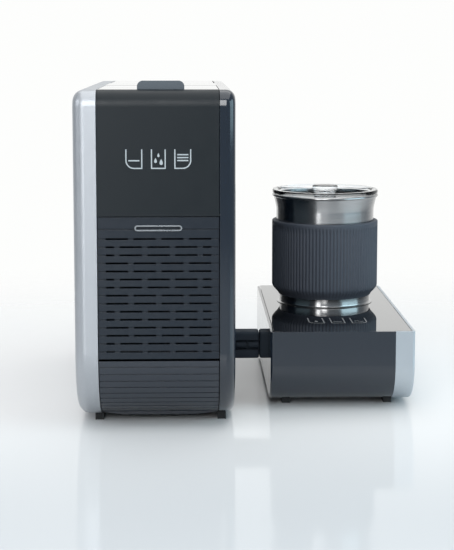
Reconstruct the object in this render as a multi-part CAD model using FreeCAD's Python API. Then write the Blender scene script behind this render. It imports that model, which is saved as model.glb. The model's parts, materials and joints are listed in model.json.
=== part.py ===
import FreeCAD, Part
import math
import os

from FreeCAD import Vector

# Pod coffee machine with a milk frother docked at its right side.
# While it is built, x = 0 is the middle of the coffee machine, y = 0 its front and z = 0 the table.
# All lengths are in millimetres.

# Coffee machine: overall form
MACHINE_W = 140.0
MACHINE_D = 350.0
MACHINE_H = 300.0
GROUND_GAP = 5.0
LOWER_CURVE_R = 66.0
UPPER_CURVE_R = 14.0
REAR_CURVE_R = 16.0
WALL = 2.5
LEFT_RETURN = 20.4
RIGHT_RETURN = 13.7
LEFT_EDGE_R = 10.0
RIGHT_EDGE_R = 8.0
CHEEK_T = 2.4
BASE_T = 3.0
SEAM = 0.5

# General clearances
MOVE_GAP = 0.6
REST_GAP = 0.3
PIN_CLEAR = 0.05
SCREW_CLEAR = 0.05

# Slatted front door
FRONT_SET_BACK = 1.0
DOOR_T = 4.0
DOOR_TOP = 191.0
DOOR_BELOW_CURVE = 4.3
DOOR_ROLL_R = 3.6
DOOR_PIN_R = 1.5
DOOR_PIN_REACH = 10.0
ROW_PITCH = 7.05
FIRST_ROW_DROP = 19.0
TOP_GROOVE_DROP = 10.6
SLOT_LENGTH = 19.1
SLOT_WEB = 4.85
SLOT_COUNT = 4
SLOT_H = 1.6
GROOVE_H = 1.0
GROOVE_DEPTH = 0.7
PULL_W = 41.0
PULL_H = 5.0
PULL_FRAME = 1.1
PULL_DEPTH = 2.0
PULL_DROP = 9.6

# Drip drawer
DRAWER_SKIN = 3.0
DRAWER_SKIN_END = 50.0
DRAWER_GROOVES = 9
LIP_DROP = 2.9
LIP_T = 3.0
LIP_ROUND_L = 26.0
TRAY_WALL = 2.0
TRAY_DROP = 10.1
TRAY_BACK = 113.0
GRID_T = 2.0
GRID_MARGIN = 8.0
GRID_SLOT = 4.0
GRID_PITCH = 8.0

# Cup bay and brew unit
BAY_DEPTH = 116.0
LINER_T = 2.5
SPOUT_Y = 62.0
SPOUT_R = 11.0
SPOUT_TIP_R = 6.6
SPOUT_BORE_R = 4.0
SPOUT_DROP = 22.0
SPOUT_FLANGE_R = 20.0
SPOUT_FLANGE_T = 2.0
CHAMBER_R = 37.0
BASKET_R = 26.0
BASKET_WALL = 1.2
BASKET_DEPTH = 38.0
BASKET_FLANGE = 4.0
BASKET_FLANGE_T = 1.5
BASKET_HOLE_R = 1.0
BASKET_HOLES = 6
BASKET_HOLE_RING_R = 12.0

# Top lid
LID_T = 3.0
LID_SET_BACK = 1.0
LID_HINGE_Y = 147.0
LID_ROLL_R = 5.5
LID_PIN_R = 1.5
LID_PIN_REACH = 10.0
TAB_W = 40.8
TAB_SHIFT_X = 2.3
TAB_H = 7.5
TAB_T = 3.2
TAB_CORNER_R = 5.0
SHOWER_DROP = 18.7
SHOWER_R = 22.0
SHOWER_NECK_R = 15.0
SHOWER_PLATE_T = 5.0
SHOWER_HOLE_R = 0.8
SHOWER_HOLES = 8
SHOWER_HOLE_RING_R = 12.0
GASKET_T = 2.4

# Water tank
TANK_FRONT = 238.5
BULKHEAD_T = 2.5
TANK_WALL = 2.4
TANK_GAP = 1.0
SEAT_Z = 70.0
SEAT_T = 3.0
VALVE_IN = 28.5
VALVE_R = 9.0
VALVE_H = 13.0
VALVE_BORE_R = 3.0
SOCKET_R = 14.0
SOCKET_H = 15.0
TANK_LID_T = 3.0
TANK_LID_PLUG = 4.0
TANK_GRIP_W = 34.0
TANK_GRIP_D = 12.0
TANK_GRIP_DEEP = 1.6

# Pump, boiler and electrics
PUMP_R = 17.0
PUMP_LIFT = 3.0
PUMP_END_GAP = 2.0
MOUNT_T = 8.0
MOUNT_W = 44.0
SPIGOT_R = 2.0
SPIGOT_L = 6.0
HOSE_R = 3.0
HOSE_BEND = 8.0
HOSE_SIDE_GAP = 6.5
BOILER_W = 50.0
BOILER_D = 60.0
BOILER_H = 70.0
BOILER_END_GAP = 6.0
BOILER_Z = 110.0
BOILER_GAP = 11.5
BOILER_LUG = 10.0
BREW_HOSE_RISE = 41.0
METER_SIZE = 24.0
METER_H = 32.0
BOARD_T = 1.6
BOARD_POST = 3.0
BOARD_POST_R = 2.5
CONTROL_BOARD_Y = 130.0
CONTROL_BOARD_Z = 90.0
CONTROL_BOARD_D = 96.0
CONTROL_BOARD_H = 96.0
BOARD_MARGIN = 5.0
RELAY_L = 20.0
RELAY_W = 15.0
RELAY_H = 15.0
CAPACITOR_R = 7.5
CHIP_SIZE = 20.0
TOUCH_BOARD_W = 72.0
TOUCH_BOARD_RISE = 26.0
TOUCH_BOARD_DROP = 24.0

# Mains inlet and switch in the rear panel
INLET_OUT = 23.0
INLET_Z = 34.0
INLET_W = 27.0
INLET_H = 20.0
INLET_FLANGE = 4.0
INLET_FLANGE_T = 1.5
INLET_DEPTH = 24.0
INLET_WALL = 1.8
INLET_RECESS = 16.0
CONTACT_W = 2.0
CONTACT_H = 4.0
CONTACT_L = 9.0
CONTACT_SPREAD = 7.0
SWITCH_OUT = 21.0
SWITCH_Z = 34.0
SWITCH_W = 15.0
SWITCH_H = 22.0
SWITCH_DEPTH = 18.0
SWITCH_WALL = 1.5
ROCKER_PIN_R = 1.0
ROCKER_PIN_IN = 1.0
ROCKER_TILT = 6.0

# Feet of both units
FOOT_W = 7.8
FOOT_D = 22.0
FOOT_RIBS = 3
FOOT_RIB_GAP = 0.9
LEFT_FOOT_OUT = 2.2
RIGHT_FOOT_OUT = 2.7
FRONT_FOOT_GAP = 2.0
REAR_FOOT_IN = 50.0
SCREW_R = 1.1
SCREW_HEAD_R = 1.9
SCREW_HEAD_T = 2.0
SCREW_HEAD_DEEP = 1.2
SCREW_REACH = 4.0

# Dock between the two units
DOCK_Y = 120.0
DOCK_D = 18.0
DOCK_Z = 41.1
DOCK_H = 25.8
ARM_LENGTH = 26.3
DOCK_GAP = 0.4
DOCK_EDGE_R = 2.4
DOCK_SPIGOT = 14.0
DOCK_BAND_H = 9.5
DOCK_BAND_DEEP = 4.0
BARREL_START = 4.5
BARREL_L = 9.5
BARREL_R = 3.6
BARREL_GAP = 2.0
PIN_R = 1.4
PIN_L = 16.0
PIN_PITCH = 5.0
PIN_RISE = 4.5
DOCK_PIN_CLEAR = 0.3

# Milk frother: overall form
FROTHER_GAP = 35.0
FROTHER_W = 134.0
FROTHER_D = 270.0
FROTHER_H = 75.0
FROTHER_SET_BACK = 76.5
FROTHER_CURVE_R = 38.0
FROTHER_REAR_R = 16.0
FROTHER_RETURN = 18.1
FROTHER_EDGE_R = 2.4
TOP_PLATE_T = 3.0
BOSS_R = 4.0
BOSS_INSET_X = 9.0
BOSS_FRONT = 44.0
BOSS_REAR = 20.0
FROTHER_FOOT_IN = 16.3
FROTHER_RIGHT_FOOT_IN = 20.9
FROTHER_FOOT_Y = 34.0
FROTHER_REAR_FOOT_IN = 45.0
FROTHER_BOARD_W = 80.0
FROTHER_BOARD_D = 36.0
FROTHER_BOARD_Y = 60.0
PAD_BOARD_W = 58.0
PAD_BOARD_D = 44.0
PAD_BOARD_Y = 34.0
MOTOR_R = 18.0
MOTOR_H = 30.0
MOTOR_PLATE = 50.0
MOTOR_PLATE_T = 3.0
ROTOR_R = 20.0
ROTOR_T = 6.0
ROTOR_RISE = 12.0
SHAFT_R = 2.0
SHAFT_IN = 6.0
COIL_OUT_R = 42.0
COIL_IN_R = 24.0
COIL_T = 6.0
COIL_DROP = 10.0
PILLAR_RING_R = 36.0
PILLARS = 3

# Milk jug
JUG_SHIFT_X = -2.0
JUG_Y = 246.0
JUG_R = 50.0
JUG_WALL = 1.5
JUG_H = 112.0
JUG_FLOOR_RISE = 4.5
FOOT_IN = 3.8
FOOT_FLARE_OUT = 3.0
FOOT_FLARE_H = 0.8
FOOT_BLEND_H = 4.2
FOOT_NECK_H = 10.0
SHOULDER_H = 14.0
RIM_OUT = 4.4
RIM_H = 14.0
RIM_T = 1.0
SLEEVE_T = 4.3
SLEEVE_BOTTOM = 8.2
SLEEVE_TOP = 84.6
SLEEVE_CHAMFER = 10.0
SLEEVE_TOP_R = 1.2
SLEEVE_FIT = 0.02

# Jug lid and whisk
JUG_LID_RIM_IN = 0.4
JUG_LID_RING_H = 4.0
JUG_LID_RING_W = 4.5
JUG_LID_DROP = 7.0
JUG_LID_T = 2.2
SEAL_T = 3.0
SEAL_OUT = 1.0
SEAL_BITE = 0.8
KNOB_R = 13.0
KNOB_NECK_R = 9.0
KNOB_H = 13.0
KNOB_CAP_H = 5.0
WHISK_PIN_R = 2.0
WHISK_PIN_H = 12.0
WHISK_HUB_R = 5.0
WHISK_RING_R = 17.0
WHISK_WIRE_R = 1.6
WHISK_SPOKES = 4

# Places worked out from the sizes above
X_LEFT = -MACHINE_W / 2
X_RIGHT = MACHINE_W / 2
OPEN_L = X_LEFT + LEFT_RETURN
OPEN_R = X_RIGHT - RIGHT_RETURN
MID_X = (OPEN_L + OPEN_R) / 2
BASE_TOP = GROUND_GAP + BASE_T
LEFT_FOOT_X = OPEN_L - LEFT_FOOT_OUT
RIGHT_FOOT_X = OPEN_R + RIGHT_FOOT_OUT
FRONT_FOOT_Y = DRAWER_SKIN_END + FRONT_FOOT_GAP
REAR_FOOT_Y = MACHINE_D - REAR_FOOT_IN
BAY_BACK = BAY_DEPTH + LINER_T
CURVE_Y = LOWER_CURVE_R
CURVE_Z = GROUND_GAP + LOWER_CURVE_R
DOOR_FRONT = FRONT_SET_BACK
DOOR_BACK = DOOR_FRONT + DOOR_T
DOOR_BOTTOM = CURVE_Z - DOOR_BELOW_CURVE
DOOR_PIN_Y = DOOR_FRONT + DOOR_ROLL_R
DOOR_PIN_Z = DOOR_BOTTOM + DOOR_ROLL_R
FIRST_ROW_Z = DOOR_TOP - FIRST_ROW_DROP
TOP_GROOVE_Z = DOOR_TOP - TOP_GROOVE_DROP
PULL_Z = DOOR_TOP - PULL_DROP
LOWEST_ROW_Z = DOOR_PIN_Z + DOOR_PIN_R + PIN_CLEAR + SLOT_H / 2
SLOT_ROWS = 1 + int((FIRST_ROW_Z - LOWEST_ROW_Z) / ROW_PITCH)
SPLIT_Z = DOOR_BOTTOM - MOVE_GAP
DOOR_HEEL_SWING = math.sqrt(2) * DOOR_ROLL_R
DRAWER_TOP = DOOR_PIN_Z - DOOR_HEEL_SWING - MOVE_GAP
TRAY_TOP = SPLIT_Z - TRAY_DROP
PANEL_BOTTOM = DOOR_TOP + MOVE_GAP
DECK_Z = PANEL_BOTTOM
DECK_TOP = DECK_Z + LINER_T
LID_FRONT = UPPER_CURVE_R + LID_SET_BACK
LID_UNDER = MACHINE_H - LID_T
LID_HINGE_Z = MACHINE_H - LID_ROLL_R
SHOWER_Z = LID_UNDER - SHOWER_DROP
BASKET_TOP = SHOWER_Z - GASKET_T - REST_GAP
CHAMBER_TOP = BASKET_TOP - BASKET_FLANGE_T
CHAMBER_H = CHAMBER_TOP - DECK_TOP
BREW_HOSE_Z = DECK_TOP + BREW_HOSE_RISE
TOUCH_BOARD_Z = DECK_TOP + TOUCH_BOARD_RISE
TOUCH_BOARD_TOP = MACHINE_H - UPPER_CURVE_R - TOUCH_BOARD_DROP
COVER_FRONT = LID_HINGE_Y + LID_ROLL_R + MOVE_GAP
TANK_BACK = MACHINE_D - REAR_CURVE_R
VALVE_Y = TANK_FRONT + VALVE_IN
SEAT_TOP = SEAT_Z + SEAT_T
TANK_Z = SEAT_TOP + REST_GAP
TANK_TOP = MACHINE_H - TANK_LID_T - REST_GAP
HOSE_RUN_X = OPEN_R - HOSE_SIDE_GAP
SUCTION_RUN_X = OPEN_L + HOSE_SIDE_GAP
BOILER_RIGHT = HOSE_RUN_X - HOSE_BEND - SPIGOT_L - BOILER_END_GAP
BOILER_LEFT = BOILER_RIGHT - BOILER_W
BOILER_FRONT = BAY_BACK + BOILER_GAP
BOILER_TOP = BOILER_Z + BOILER_H
PUMP_LEFT = SUCTION_RUN_X + HOSE_BEND + PUMP_END_GAP + SPIGOT_L
PUMP_RIGHT = HOSE_RUN_X - HOSE_BEND - PUMP_END_GAP - SPIGOT_L
PUMP_Y = BOILER_FRONT + BOILER_D / 2
PUMP_Z = BASE_TOP + PUMP_LIFT + PUMP_R
INLET_X = MID_X - INLET_OUT
SWITCH_X = MID_X + SWITCH_OUT
ROCKER_Y = MACHINE_D - WALL - 2 * SWITCH_WALL
FROTHER_L = X_RIGHT + FROTHER_GAP
FROTHER_R = FROTHER_L + FROTHER_W
FROTHER_SEAM = FROTHER_R - FROTHER_RETURN
FROTHER_FRONT = FROTHER_SET_BACK
FROTHER_BACK = FROTHER_FRONT + FROTHER_D
FROTHER_FLOOR = GROUND_GAP + WALL
PLATE_UNDER = FROTHER_H - TOP_PLATE_T
COIL_Z = PLATE_UNDER - COIL_DROP
JUG_X = (FROTHER_L + FROTHER_R) / 2 + JUG_SHIFT_X
JUG_Z = FROTHER_H + REST_GAP
JUG_FLOOR = JUG_Z + JUG_FLOOR_RISE
JUG_TOP = JUG_Z + JUG_H
FOOT_R = JUG_R - FOOT_IN
FOOT_FLARE_R = FOOT_R + FOOT_FLARE_OUT
RIM_R = JUG_R + RIM_OUT
SLEEVE_R = JUG_R + SLEEVE_T
JUG_LID_R = RIM_R - JUG_LID_RIM_IN
SEAL_Z = JUG_TOP - JUG_LID_DROP + SEAL_BITE
MOUTH_R = JUG_R - JUG_WALL + (RIM_OUT - RIM_T) * (SEAL_Z - JUG_TOP + RIM_H) / RIM_H
LID_NECK_R = MOUTH_R - SEAL_OUT - REST_GAP
ORIGIN = Vector(-(X_LEFT + FROTHER_R) / 2, -MACHINE_D / 2, 0)


# Basic shapes
def block(x0, x1, y0, y1, z0, z1):
    return Part.makeBox(x1 - x0, y1 - y0, z1 - z0, Vector(x0, y0, z0))


def rod(centre, axis, radius, length):
    return Part.makeCylinder(radius, length, Vector(*centre), Vector(*axis))


def turned(points, x, y):
    """Solid of revolution about the upright axis at x, y; points are (radius, height)."""
    corners = [Vector(x + r, y, z) for r, z in points]
    outline = Part.makePolygon(corners + corners[:1])
    return Part.Face(outline).revolve(Vector(x, y, 0), Vector(0, 0, 1), 360)


def tube(x, y, z0, z1, inner, outer):
    return turned([(inner, z0), (outer, z0), (outer, z1), (inner, z1)], x, y)


def stadium(x, z, width, height, y0, y1):
    """Bar with round ends, lying along x, between y0 and y1."""
    radius = height / 2
    half = width / 2 - radius
    ends = [rod((x + side * half, y0, z), (0, 1, 0), radius, y1 - y0) for side in (-1, 1)]
    return block(x - half, x + half, y0, y1, z - radius, z + radius).fuse(ends).removeSplitter()


def ring_places(x, y, radius, count):
    turns = [2 * math.pi * i / count for i in range(count)]
    return [(x + radius * math.cos(t), y + radius * math.sin(t)) for t in turns]


def arc(start, middle, end):
    return Part.Arc(start, middle, end).toShape()


def line(start, end):
    return Part.LineSegment(start, end).toShape()


def side_outline(x, front, back, bottom, top, low_r, top_r, back_r):
    """Side view of a housing as a face at one x: a large curve below the front, smaller ones elsewhere."""
    half = math.sqrt(0.5)

    def point(y, z):
        return Vector(x, y, z)

    def corner(centre_y, centre_z, radius, from_dir, to_dir):
        ends = [point(centre_y + radius * d[0], centre_z + radius * d[1]) for d in (from_dir, to_dir)]
        bulge = (from_dir[0] + to_dir[0], from_dir[1] + to_dir[1])
        middle = point(centre_y + radius * half * bulge[0], centre_z + radius * half * bulge[1])
        return ends[0], middle, ends[1]

    corners = [
        corner(front + top_r, top - top_r, top_r, (-1, 0), (0, 1)),
        corner(back - back_r, top - back_r, back_r, (0, 1), (1, 0)),
        corner(back - back_r, bottom + back_r, back_r, (1, 0), (0, -1)),
        corner(front + low_r, bottom + low_r, low_r, (0, -1), (-1, 0)),
    ]
    edges = []
    for here, following in zip(corners, corners[1:] + corners[:1]):
        edges.append(arc(*here))
        edges.append(line(here[2], following[0]))
    return Part.Face(Part.Wire(edges))


def machine_slab(x0, x1, inset):
    """The coffee machine's side view, drawn in by inset, as a slab from x0 to x1."""
    face = side_outline(x0, inset, MACHINE_D - inset, GROUND_GAP + inset, MACHINE_H - inset,
                        LOWER_CURVE_R - inset, UPPER_CURVE_R - inset, REAR_CURVE_R - inset)
    return face.extrude(Vector(x1 - x0, 0, 0))


def frother_slab(x0, x1, inset, rise):
    """The frother's side view, drawn in by inset; rise lifts its top above the housing's edge."""
    lift = rise + FROTHER_EDGE_R
    face = side_outline(x0, FROTHER_FRONT + inset, FROTHER_BACK - inset, GROUND_GAP + inset,
                        FROTHER_H + lift, FROTHER_CURVE_R - inset, FROTHER_EDGE_R, FROTHER_REAR_R - inset)
    return face.extrude(Vector(x1 - x0, 0, 0))


def edges_at_x(solid, x):
    return [e for e in solid.Edges if all(abs(v.X - x) < 1e-6 for v in e.Vertexes)]


def rounded_tray(outer, inner, x_out, x_in, radius, wall):
    """Side panel: a plate with a rim all round, its outer edge rounded inside and out."""
    outer = outer.makeFillet(radius, edges_at_x(outer, x_out))
    inner = inner.makeFillet(radius - wall, edges_at_x(inner, x_in))
    return outer.cut(inner)


def hose(points, bend, radius):
    """Hose along straight runs joined by bends of one radius."""
    points = [Vector(*p) for p in points]
    edges = []
    start = points[0]
    for before, here, after in zip(points, points[1:], points[2:]):
        back = (before - here).normalize()
        ahead = (after - here).normalize()
        turn = math.pi - back.getAngle(ahead)
        reach = bend * math.tan(turn / 2)
        first = here + back * reach
        last = here + ahead * reach
        to_middle = (back + ahead).normalize()
        middle = here + to_middle * (bend / math.cos(turn / 2) - bend)
        edges.append(line(start, first))
        edges.append(arc(first, middle, last))
        start = last
    edges.append(line(start, points[-1]))
    path = Part.Wire(edges)
    section = Part.Wire(Part.makeCircle(radius, points[0], points[1] - points[0]))
    return path.makePipeShell([section], True, False)


# Coffee machine: outer panels and frame
def feet_places():
    return [(x, y) for x in (LEFT_FOOT_X, RIGHT_FOOT_X) for y in (FRONT_FOOT_Y, REAR_FOOT_Y)]


def foot_screw_place(x, y):
    """Each screw stands just outside the nearer cheek."""
    beside = CHEEK_T + SCREW_R + SCREW_CLEAR
    screw_x = OPEN_L - beside if x < MID_X else OPEN_R + beside
    return screw_x, y + FOOT_D / 2


def foot_screw_holes(radius, z0, z1):
    places = [foot_screw_place(x, y) for x, y in feet_places()]
    return [rod((x, y, z0), (0, 0, 1), radius, z1 - z0) for x, y in places]


def left_side_panel():
    outer = machine_slab(X_LEFT, OPEN_L, 0)
    inner = machine_slab(X_LEFT + WALL, OPEN_L, WALL)
    panel = rounded_tray(outer, inner, X_LEFT, X_LEFT + WALL, LEFT_EDGE_R, WALL)
    return panel.cut(foot_screw_holes(SCREW_R + SCREW_CLEAR, 0, GROUND_GAP + 2 * WALL))


def right_side_panel():
    outer = machine_slab(OPEN_R, X_RIGHT, 0)
    inner = machine_slab(OPEN_R, X_RIGHT - WALL, WALL)
    panel = rounded_tray(outer, inner, X_RIGHT, X_RIGHT - WALL, RIGHT_EDGE_R, WALL)
    holes = foot_screw_holes(SCREW_R + SCREW_CLEAR, 0, GROUND_GAP + 2 * WALL)
    return panel.cut(holes + [dock_spigot(SEAM / 2)])


def cheek(x0):
    """Frame plate inside a side panel's rim, with the holes of the lid pin and the door pin."""
    plate = machine_slab(x0, x0 + CHEEK_T, WALL)
    door_hole = rod((x0, DOOR_PIN_Y, DOOR_PIN_Z), (1, 0, 0), DOOR_PIN_R + SCREW_CLEAR, CHEEK_T)
    lid_hole = rod((x0, LID_HINGE_Y, LID_HINGE_Z), (1, 0, 0), LID_PIN_R + SCREW_CLEAR, CHEEK_T)
    return plate.cut([door_hole, lid_hole])


def base_plate():
    whole = machine_slab(OPEN_L, OPEN_R, 0)
    front = DRAWER_SKIN_END + LIP_T
    return whole.common(block(OPEN_L, OPEN_R, front, MACHINE_D - WALL, GROUND_GAP, BASE_TOP))


def upper_front_panel():
    left, right = OPEN_L + SEAM, OPEN_R - SEAM
    skin = machine_slab(left, right, 0).cut(machine_slab(left, right, WALL))
    return skin.common(block(left, right, 0, LID_FRONT - SEAM, PANEL_BOTTOM, MACHINE_H))


def rear_panel():
    skin = machine_slab(OPEN_L, OPEN_R, 0).cut(machine_slab(OPEN_L, OPEN_R, WALL))
    panel = skin.common(block(OPEN_L, OPEN_R, TANK_BACK, MACHINE_D, BASE_TOP, MACHINE_H))
    inlet_hole = centred_block(INLET_X, INLET_Z, INLET_W, INLET_H, MACHINE_D - WALL, MACHINE_D)
    switch_hole = centred_block(SWITCH_X, SWITCH_Z, SWITCH_W, SWITCH_H, MACHINE_D - WALL, MACHINE_D)
    return panel.cut([inlet_hole, switch_hole])


def machine_feet():
    body = machine_slab(X_LEFT, X_RIGHT, 0)
    return Part.makeCompound([foot(x, y).cut(body) for x, y in feet_places()])


def foot(x, y):
    """Rubber foot with upright ribs on its front face and a hole for its screw."""
    pad = block(x - FOOT_W / 2, x + FOOT_W / 2, y, y + FOOT_D, 0, GROUND_GAP + WALL)
    rib_pitch = FOOT_W / (FOOT_RIBS + 1)
    grooves = []
    for i in range(FOOT_RIBS):
        groove_x = x - FOOT_W / 2 + rib_pitch * (i + 1)
        grooves.append(block(groove_x - FOOT_RIB_GAP / 2, groove_x + FOOT_RIB_GAP / 2,
                             y, y + FOOT_RIB_GAP, 0, GROUND_GAP + WALL))
    screw_x, screw_y = foot_screw_place(x, y)
    head_hole = rod((screw_x, screw_y, 0), (0, 0, 1), SCREW_HEAD_R + SCREW_CLEAR,
                    SCREW_HEAD_DEEP + SCREW_HEAD_T)
    shank_hole = rod((screw_x, screw_y, 0), (0, 0, 1), SCREW_R + SCREW_CLEAR, GROUND_GAP + WALL)
    return pad.cut(grooves + [head_hole, shank_hole])


def foot_screws():
    screws = []
    for x, y in feet_places():
        screw_x, screw_y = foot_screw_place(x, y)
        head = rod((screw_x, screw_y, SCREW_HEAD_DEEP), (0, 0, 1), SCREW_HEAD_R, SCREW_HEAD_T)
        shank_z = SCREW_HEAD_DEEP + SCREW_HEAD_T
        shank_top = GROUND_GAP + WALL + SCREW_REACH
        shank = rod((screw_x, screw_y, shank_z), (0, 0, 1), SCREW_R, shank_top - shank_z)
        screws.append(head.fuse(shank))
    return Part.makeCompound(screws)


# Cup bay, door and drip drawer
def bay_liner():
    ceiling = block(OPEN_L, OPEN_R, WALL, BAY_BACK, DECK_Z, DECK_TOP)
    back = block(OPEN_L, OPEN_R, BAY_DEPTH, BAY_BACK, BASE_TOP, DECK_Z)
    hole = rod((MID_X, SPOUT_Y, DECK_Z), (0, 0, 1), SPOUT_R + SCREW_CLEAR, LINER_T)
    return ceiling.fuse(back).removeSplitter().cut(hole)


def slot_row(z, shifted):
    """One row of slots; every second pair of rows is shifted by half a slot and cut off at the ends."""
    pitch = SLOT_LENGTH + SLOT_WEB
    field = SLOT_COUNT * pitch - SLOT_WEB
    first = MID_X - field / 2
    start = first - pitch / 2 if shifted else first
    slots = []
    for i in range(SLOT_COUNT + 1 if shifted else SLOT_COUNT):
        left = max(start + i * pitch, first)
        right = min(start + i * pitch + SLOT_LENGTH, first + field)
        slots.append(block(left, right, DOOR_FRONT, DOOR_BACK, z - SLOT_H / 2, z + SLOT_H / 2))
    return slots


def front_door():
    left, right = OPEN_L + MOVE_GAP, OPEN_R - MOVE_GAP
    panel = block(left, right, DOOR_FRONT, DOOR_BACK, DOOR_PIN_Z, DOOR_TOP)
    roll = rod((left, DOOR_PIN_Y, DOOR_PIN_Z), (1, 0, 0), DOOR_ROLL_R, right - left)
    heel = block(left, right, DOOR_FRONT, DOOR_PIN_Y, DOOR_BOTTOM, DOOR_PIN_Z)
    row_heights = [FIRST_ROW_Z - i * ROW_PITCH for i in range(SLOT_ROWS)]
    cuts = [block(left, right, DOOR_FRONT, DOOR_FRONT + GROOVE_DEPTH, z - GROOVE_H / 2, z + GROOVE_H / 2)
            for z in row_heights + [TOP_GROOVE_Z]]
    for i, z in enumerate(row_heights):
        cuts += slot_row(z, i % 4 in (1, 2))
    cuts.append(stadium(MID_X, PULL_Z, PULL_W, PULL_H, DOOR_FRONT, DOOR_FRONT + PULL_DEPTH))
    for x, reach in ((left, 1), (right, -1)):
        cuts.append(rod((x, DOOR_PIN_Y, DOOR_PIN_Z), (reach, 0, 0), DOOR_PIN_R + PIN_CLEAR,
                        DOOR_PIN_REACH + MOVE_GAP))
    return panel.fuse([roll, heel]).removeSplitter().cut(Part.makeCompound(cuts))


def door_pull():
    outer = stadium(MID_X, PULL_Z, PULL_W, PULL_H, 0, DOOR_FRONT + PULL_DEPTH)
    return outer.cut(stadium(MID_X, PULL_Z, PULL_W - 2 * PULL_FRAME, PULL_H - 2 * PULL_FRAME,
                             0, DOOR_FRONT + PULL_DEPTH))


def side_pins(y, z, radius, reach):
    """A pair of hinge pins: each passes through its cheek and reaches into the turning piece."""
    length = CHEEK_T + MOVE_GAP + reach
    left = rod((OPEN_L - CHEEK_T, y, z), (1, 0, 0), radius, length)
    right = rod((OPEN_R + CHEEK_T, y, z), (-1, 0, 0), radius, length)
    return Part.makeCompound([left, right])


def drawer_front():
    """Curved front of the drip drawer, with grooves along the curve and a finger lip below."""
    left, right = OPEN_L + MOVE_GAP, OPEN_R - MOVE_GAP
    outer = machine_slab(left, right, FRONT_SET_BACK)
    inner = machine_slab(left, right, FRONT_SET_BACK + DRAWER_SKIN)
    skin = outer.cut(inner).common(block(left, right, 0, DRAWER_SKIN_END, GROUND_GAP, DRAWER_TOP))
    grooves = []
    for i in range(1, DRAWER_GROOVES + 1):
        arc_length = CURVE_Z - SPLIT_Z + i * ROW_PITCH
        groove = block(left, right, 0, FRONT_SET_BACK + GROOVE_DEPTH,
                       CURVE_Z - GROOVE_H / 2, CURVE_Z + GROOVE_H / 2)
        turn = math.degrees(arc_length / LOWER_CURVE_R)
        groove.rotate(Vector(0, CURVE_Y, CURVE_Z), Vector(1, 0, 0), turn)
        grooves.append(groove)
    return skin.cut(Part.makeCompound(grooves)).fuse(finger_lip()).removeSplitter()


def finger_lip():
    """Lip hanging below the drawer's front, rounded off towards both ends."""
    y0 = DRAWER_SKIN_END - LIP_T
    skin_r = LOWER_CURVE_R - FRONT_SET_BACK
    z_top = CURVE_Z - math.sqrt(skin_r ** 2 - (CURVE_Y - y0) ** 2)
    left, right = OPEN_L + MOVE_GAP, OPEN_R - MOVE_GAP
    z_low, z_mid = z_top - LIP_DROP, z_top - 3 / 4 * LIP_DROP
    z_root = z_top + DRAWER_SKIN
    low_left, low_right = Vector(left + LIP_ROUND_L, y0, z_low), Vector(right - LIP_ROUND_L, y0, z_low)
    end_left, end_right = Vector(left, y0, z_top), Vector(right, y0, z_top)
    root_left, root_right = Vector(left, y0, z_root), Vector(right, y0, z_root)
    outline = Part.Wire([
        Part.Arc(end_left, Vector(left + LIP_ROUND_L / 2, y0, z_mid), low_left).toShape(),
        Part.makeLine(low_left, low_right),
        Part.Arc(low_right, Vector(right - LIP_ROUND_L / 2, y0, z_mid), end_right).toShape(),
        Part.makeLine(end_right, root_right),
        Part.makeLine(root_right, root_left),
        Part.makeLine(root_left, end_left),
    ])
    lip = Part.Face(outline).extrude(Vector(0, LIP_T, 0))
    return lip.cut(machine_slab(left, right, FRONT_SET_BACK + DRAWER_SKIN))


def drip_tray():
    """Basin behind the drawer's front; its own front follows the curve."""
    left, right = OPEN_L + 2 * MOVE_GAP, OPEN_R - 2 * MOVE_GAP
    front_inset = FRONT_SET_BACK + DRAWER_SKIN
    outer = machine_slab(left, right, front_inset)
    outer = outer.common(block(left, right, 0, TRAY_BACK, BASE_TOP + MOVE_GAP, TRAY_TOP))
    inner = machine_slab(left + TRAY_WALL, right - TRAY_WALL, front_inset + TRAY_WALL)
    inner = inner.common(block(left, right, 0, TRAY_BACK - TRAY_WALL,
                               BASE_TOP + MOVE_GAP + TRAY_WALL, TRAY_TOP))
    return outer.cut(inner)


def drip_grid():
    left, right = OPEN_L + 2 * MOVE_GAP, OPEN_R - 2 * MOVE_GAP
    front = DOOR_PIN_Y + DOOR_ROLL_R + MOVE_GAP
    under = TRAY_TOP + REST_GAP
    plate = block(left, right, front, TRAY_BACK, under, under + GRID_T)
    first = left + GRID_MARGIN
    count = int((right - GRID_MARGIN - first + GRID_PITCH - GRID_SLOT) / GRID_PITCH)
    slots = [block(first + i * GRID_PITCH, first + i * GRID_PITCH + GRID_SLOT, front + GRID_MARGIN,
                   TRAY_BACK - GRID_MARGIN, under, under + GRID_T) for i in range(count)]
    return plate.cut(Part.makeCompound(slots))


# Brew unit and top lid
def coffee_spout():
    outside = [(SPOUT_BORE_R, DECK_Z - SPOUT_DROP), (SPOUT_TIP_R, DECK_Z - SPOUT_DROP),
               (SPOUT_R, DECK_Z - SPOUT_DROP / 2), (SPOUT_R, DECK_TOP), (SPOUT_FLANGE_R, DECK_TOP),
               (SPOUT_FLANGE_R, DECK_TOP + SPOUT_FLANGE_T), (SPOUT_BORE_R, DECK_TOP + SPOUT_FLANGE_T)]
    return turned(outside, MID_X, SPOUT_Y)


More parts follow.
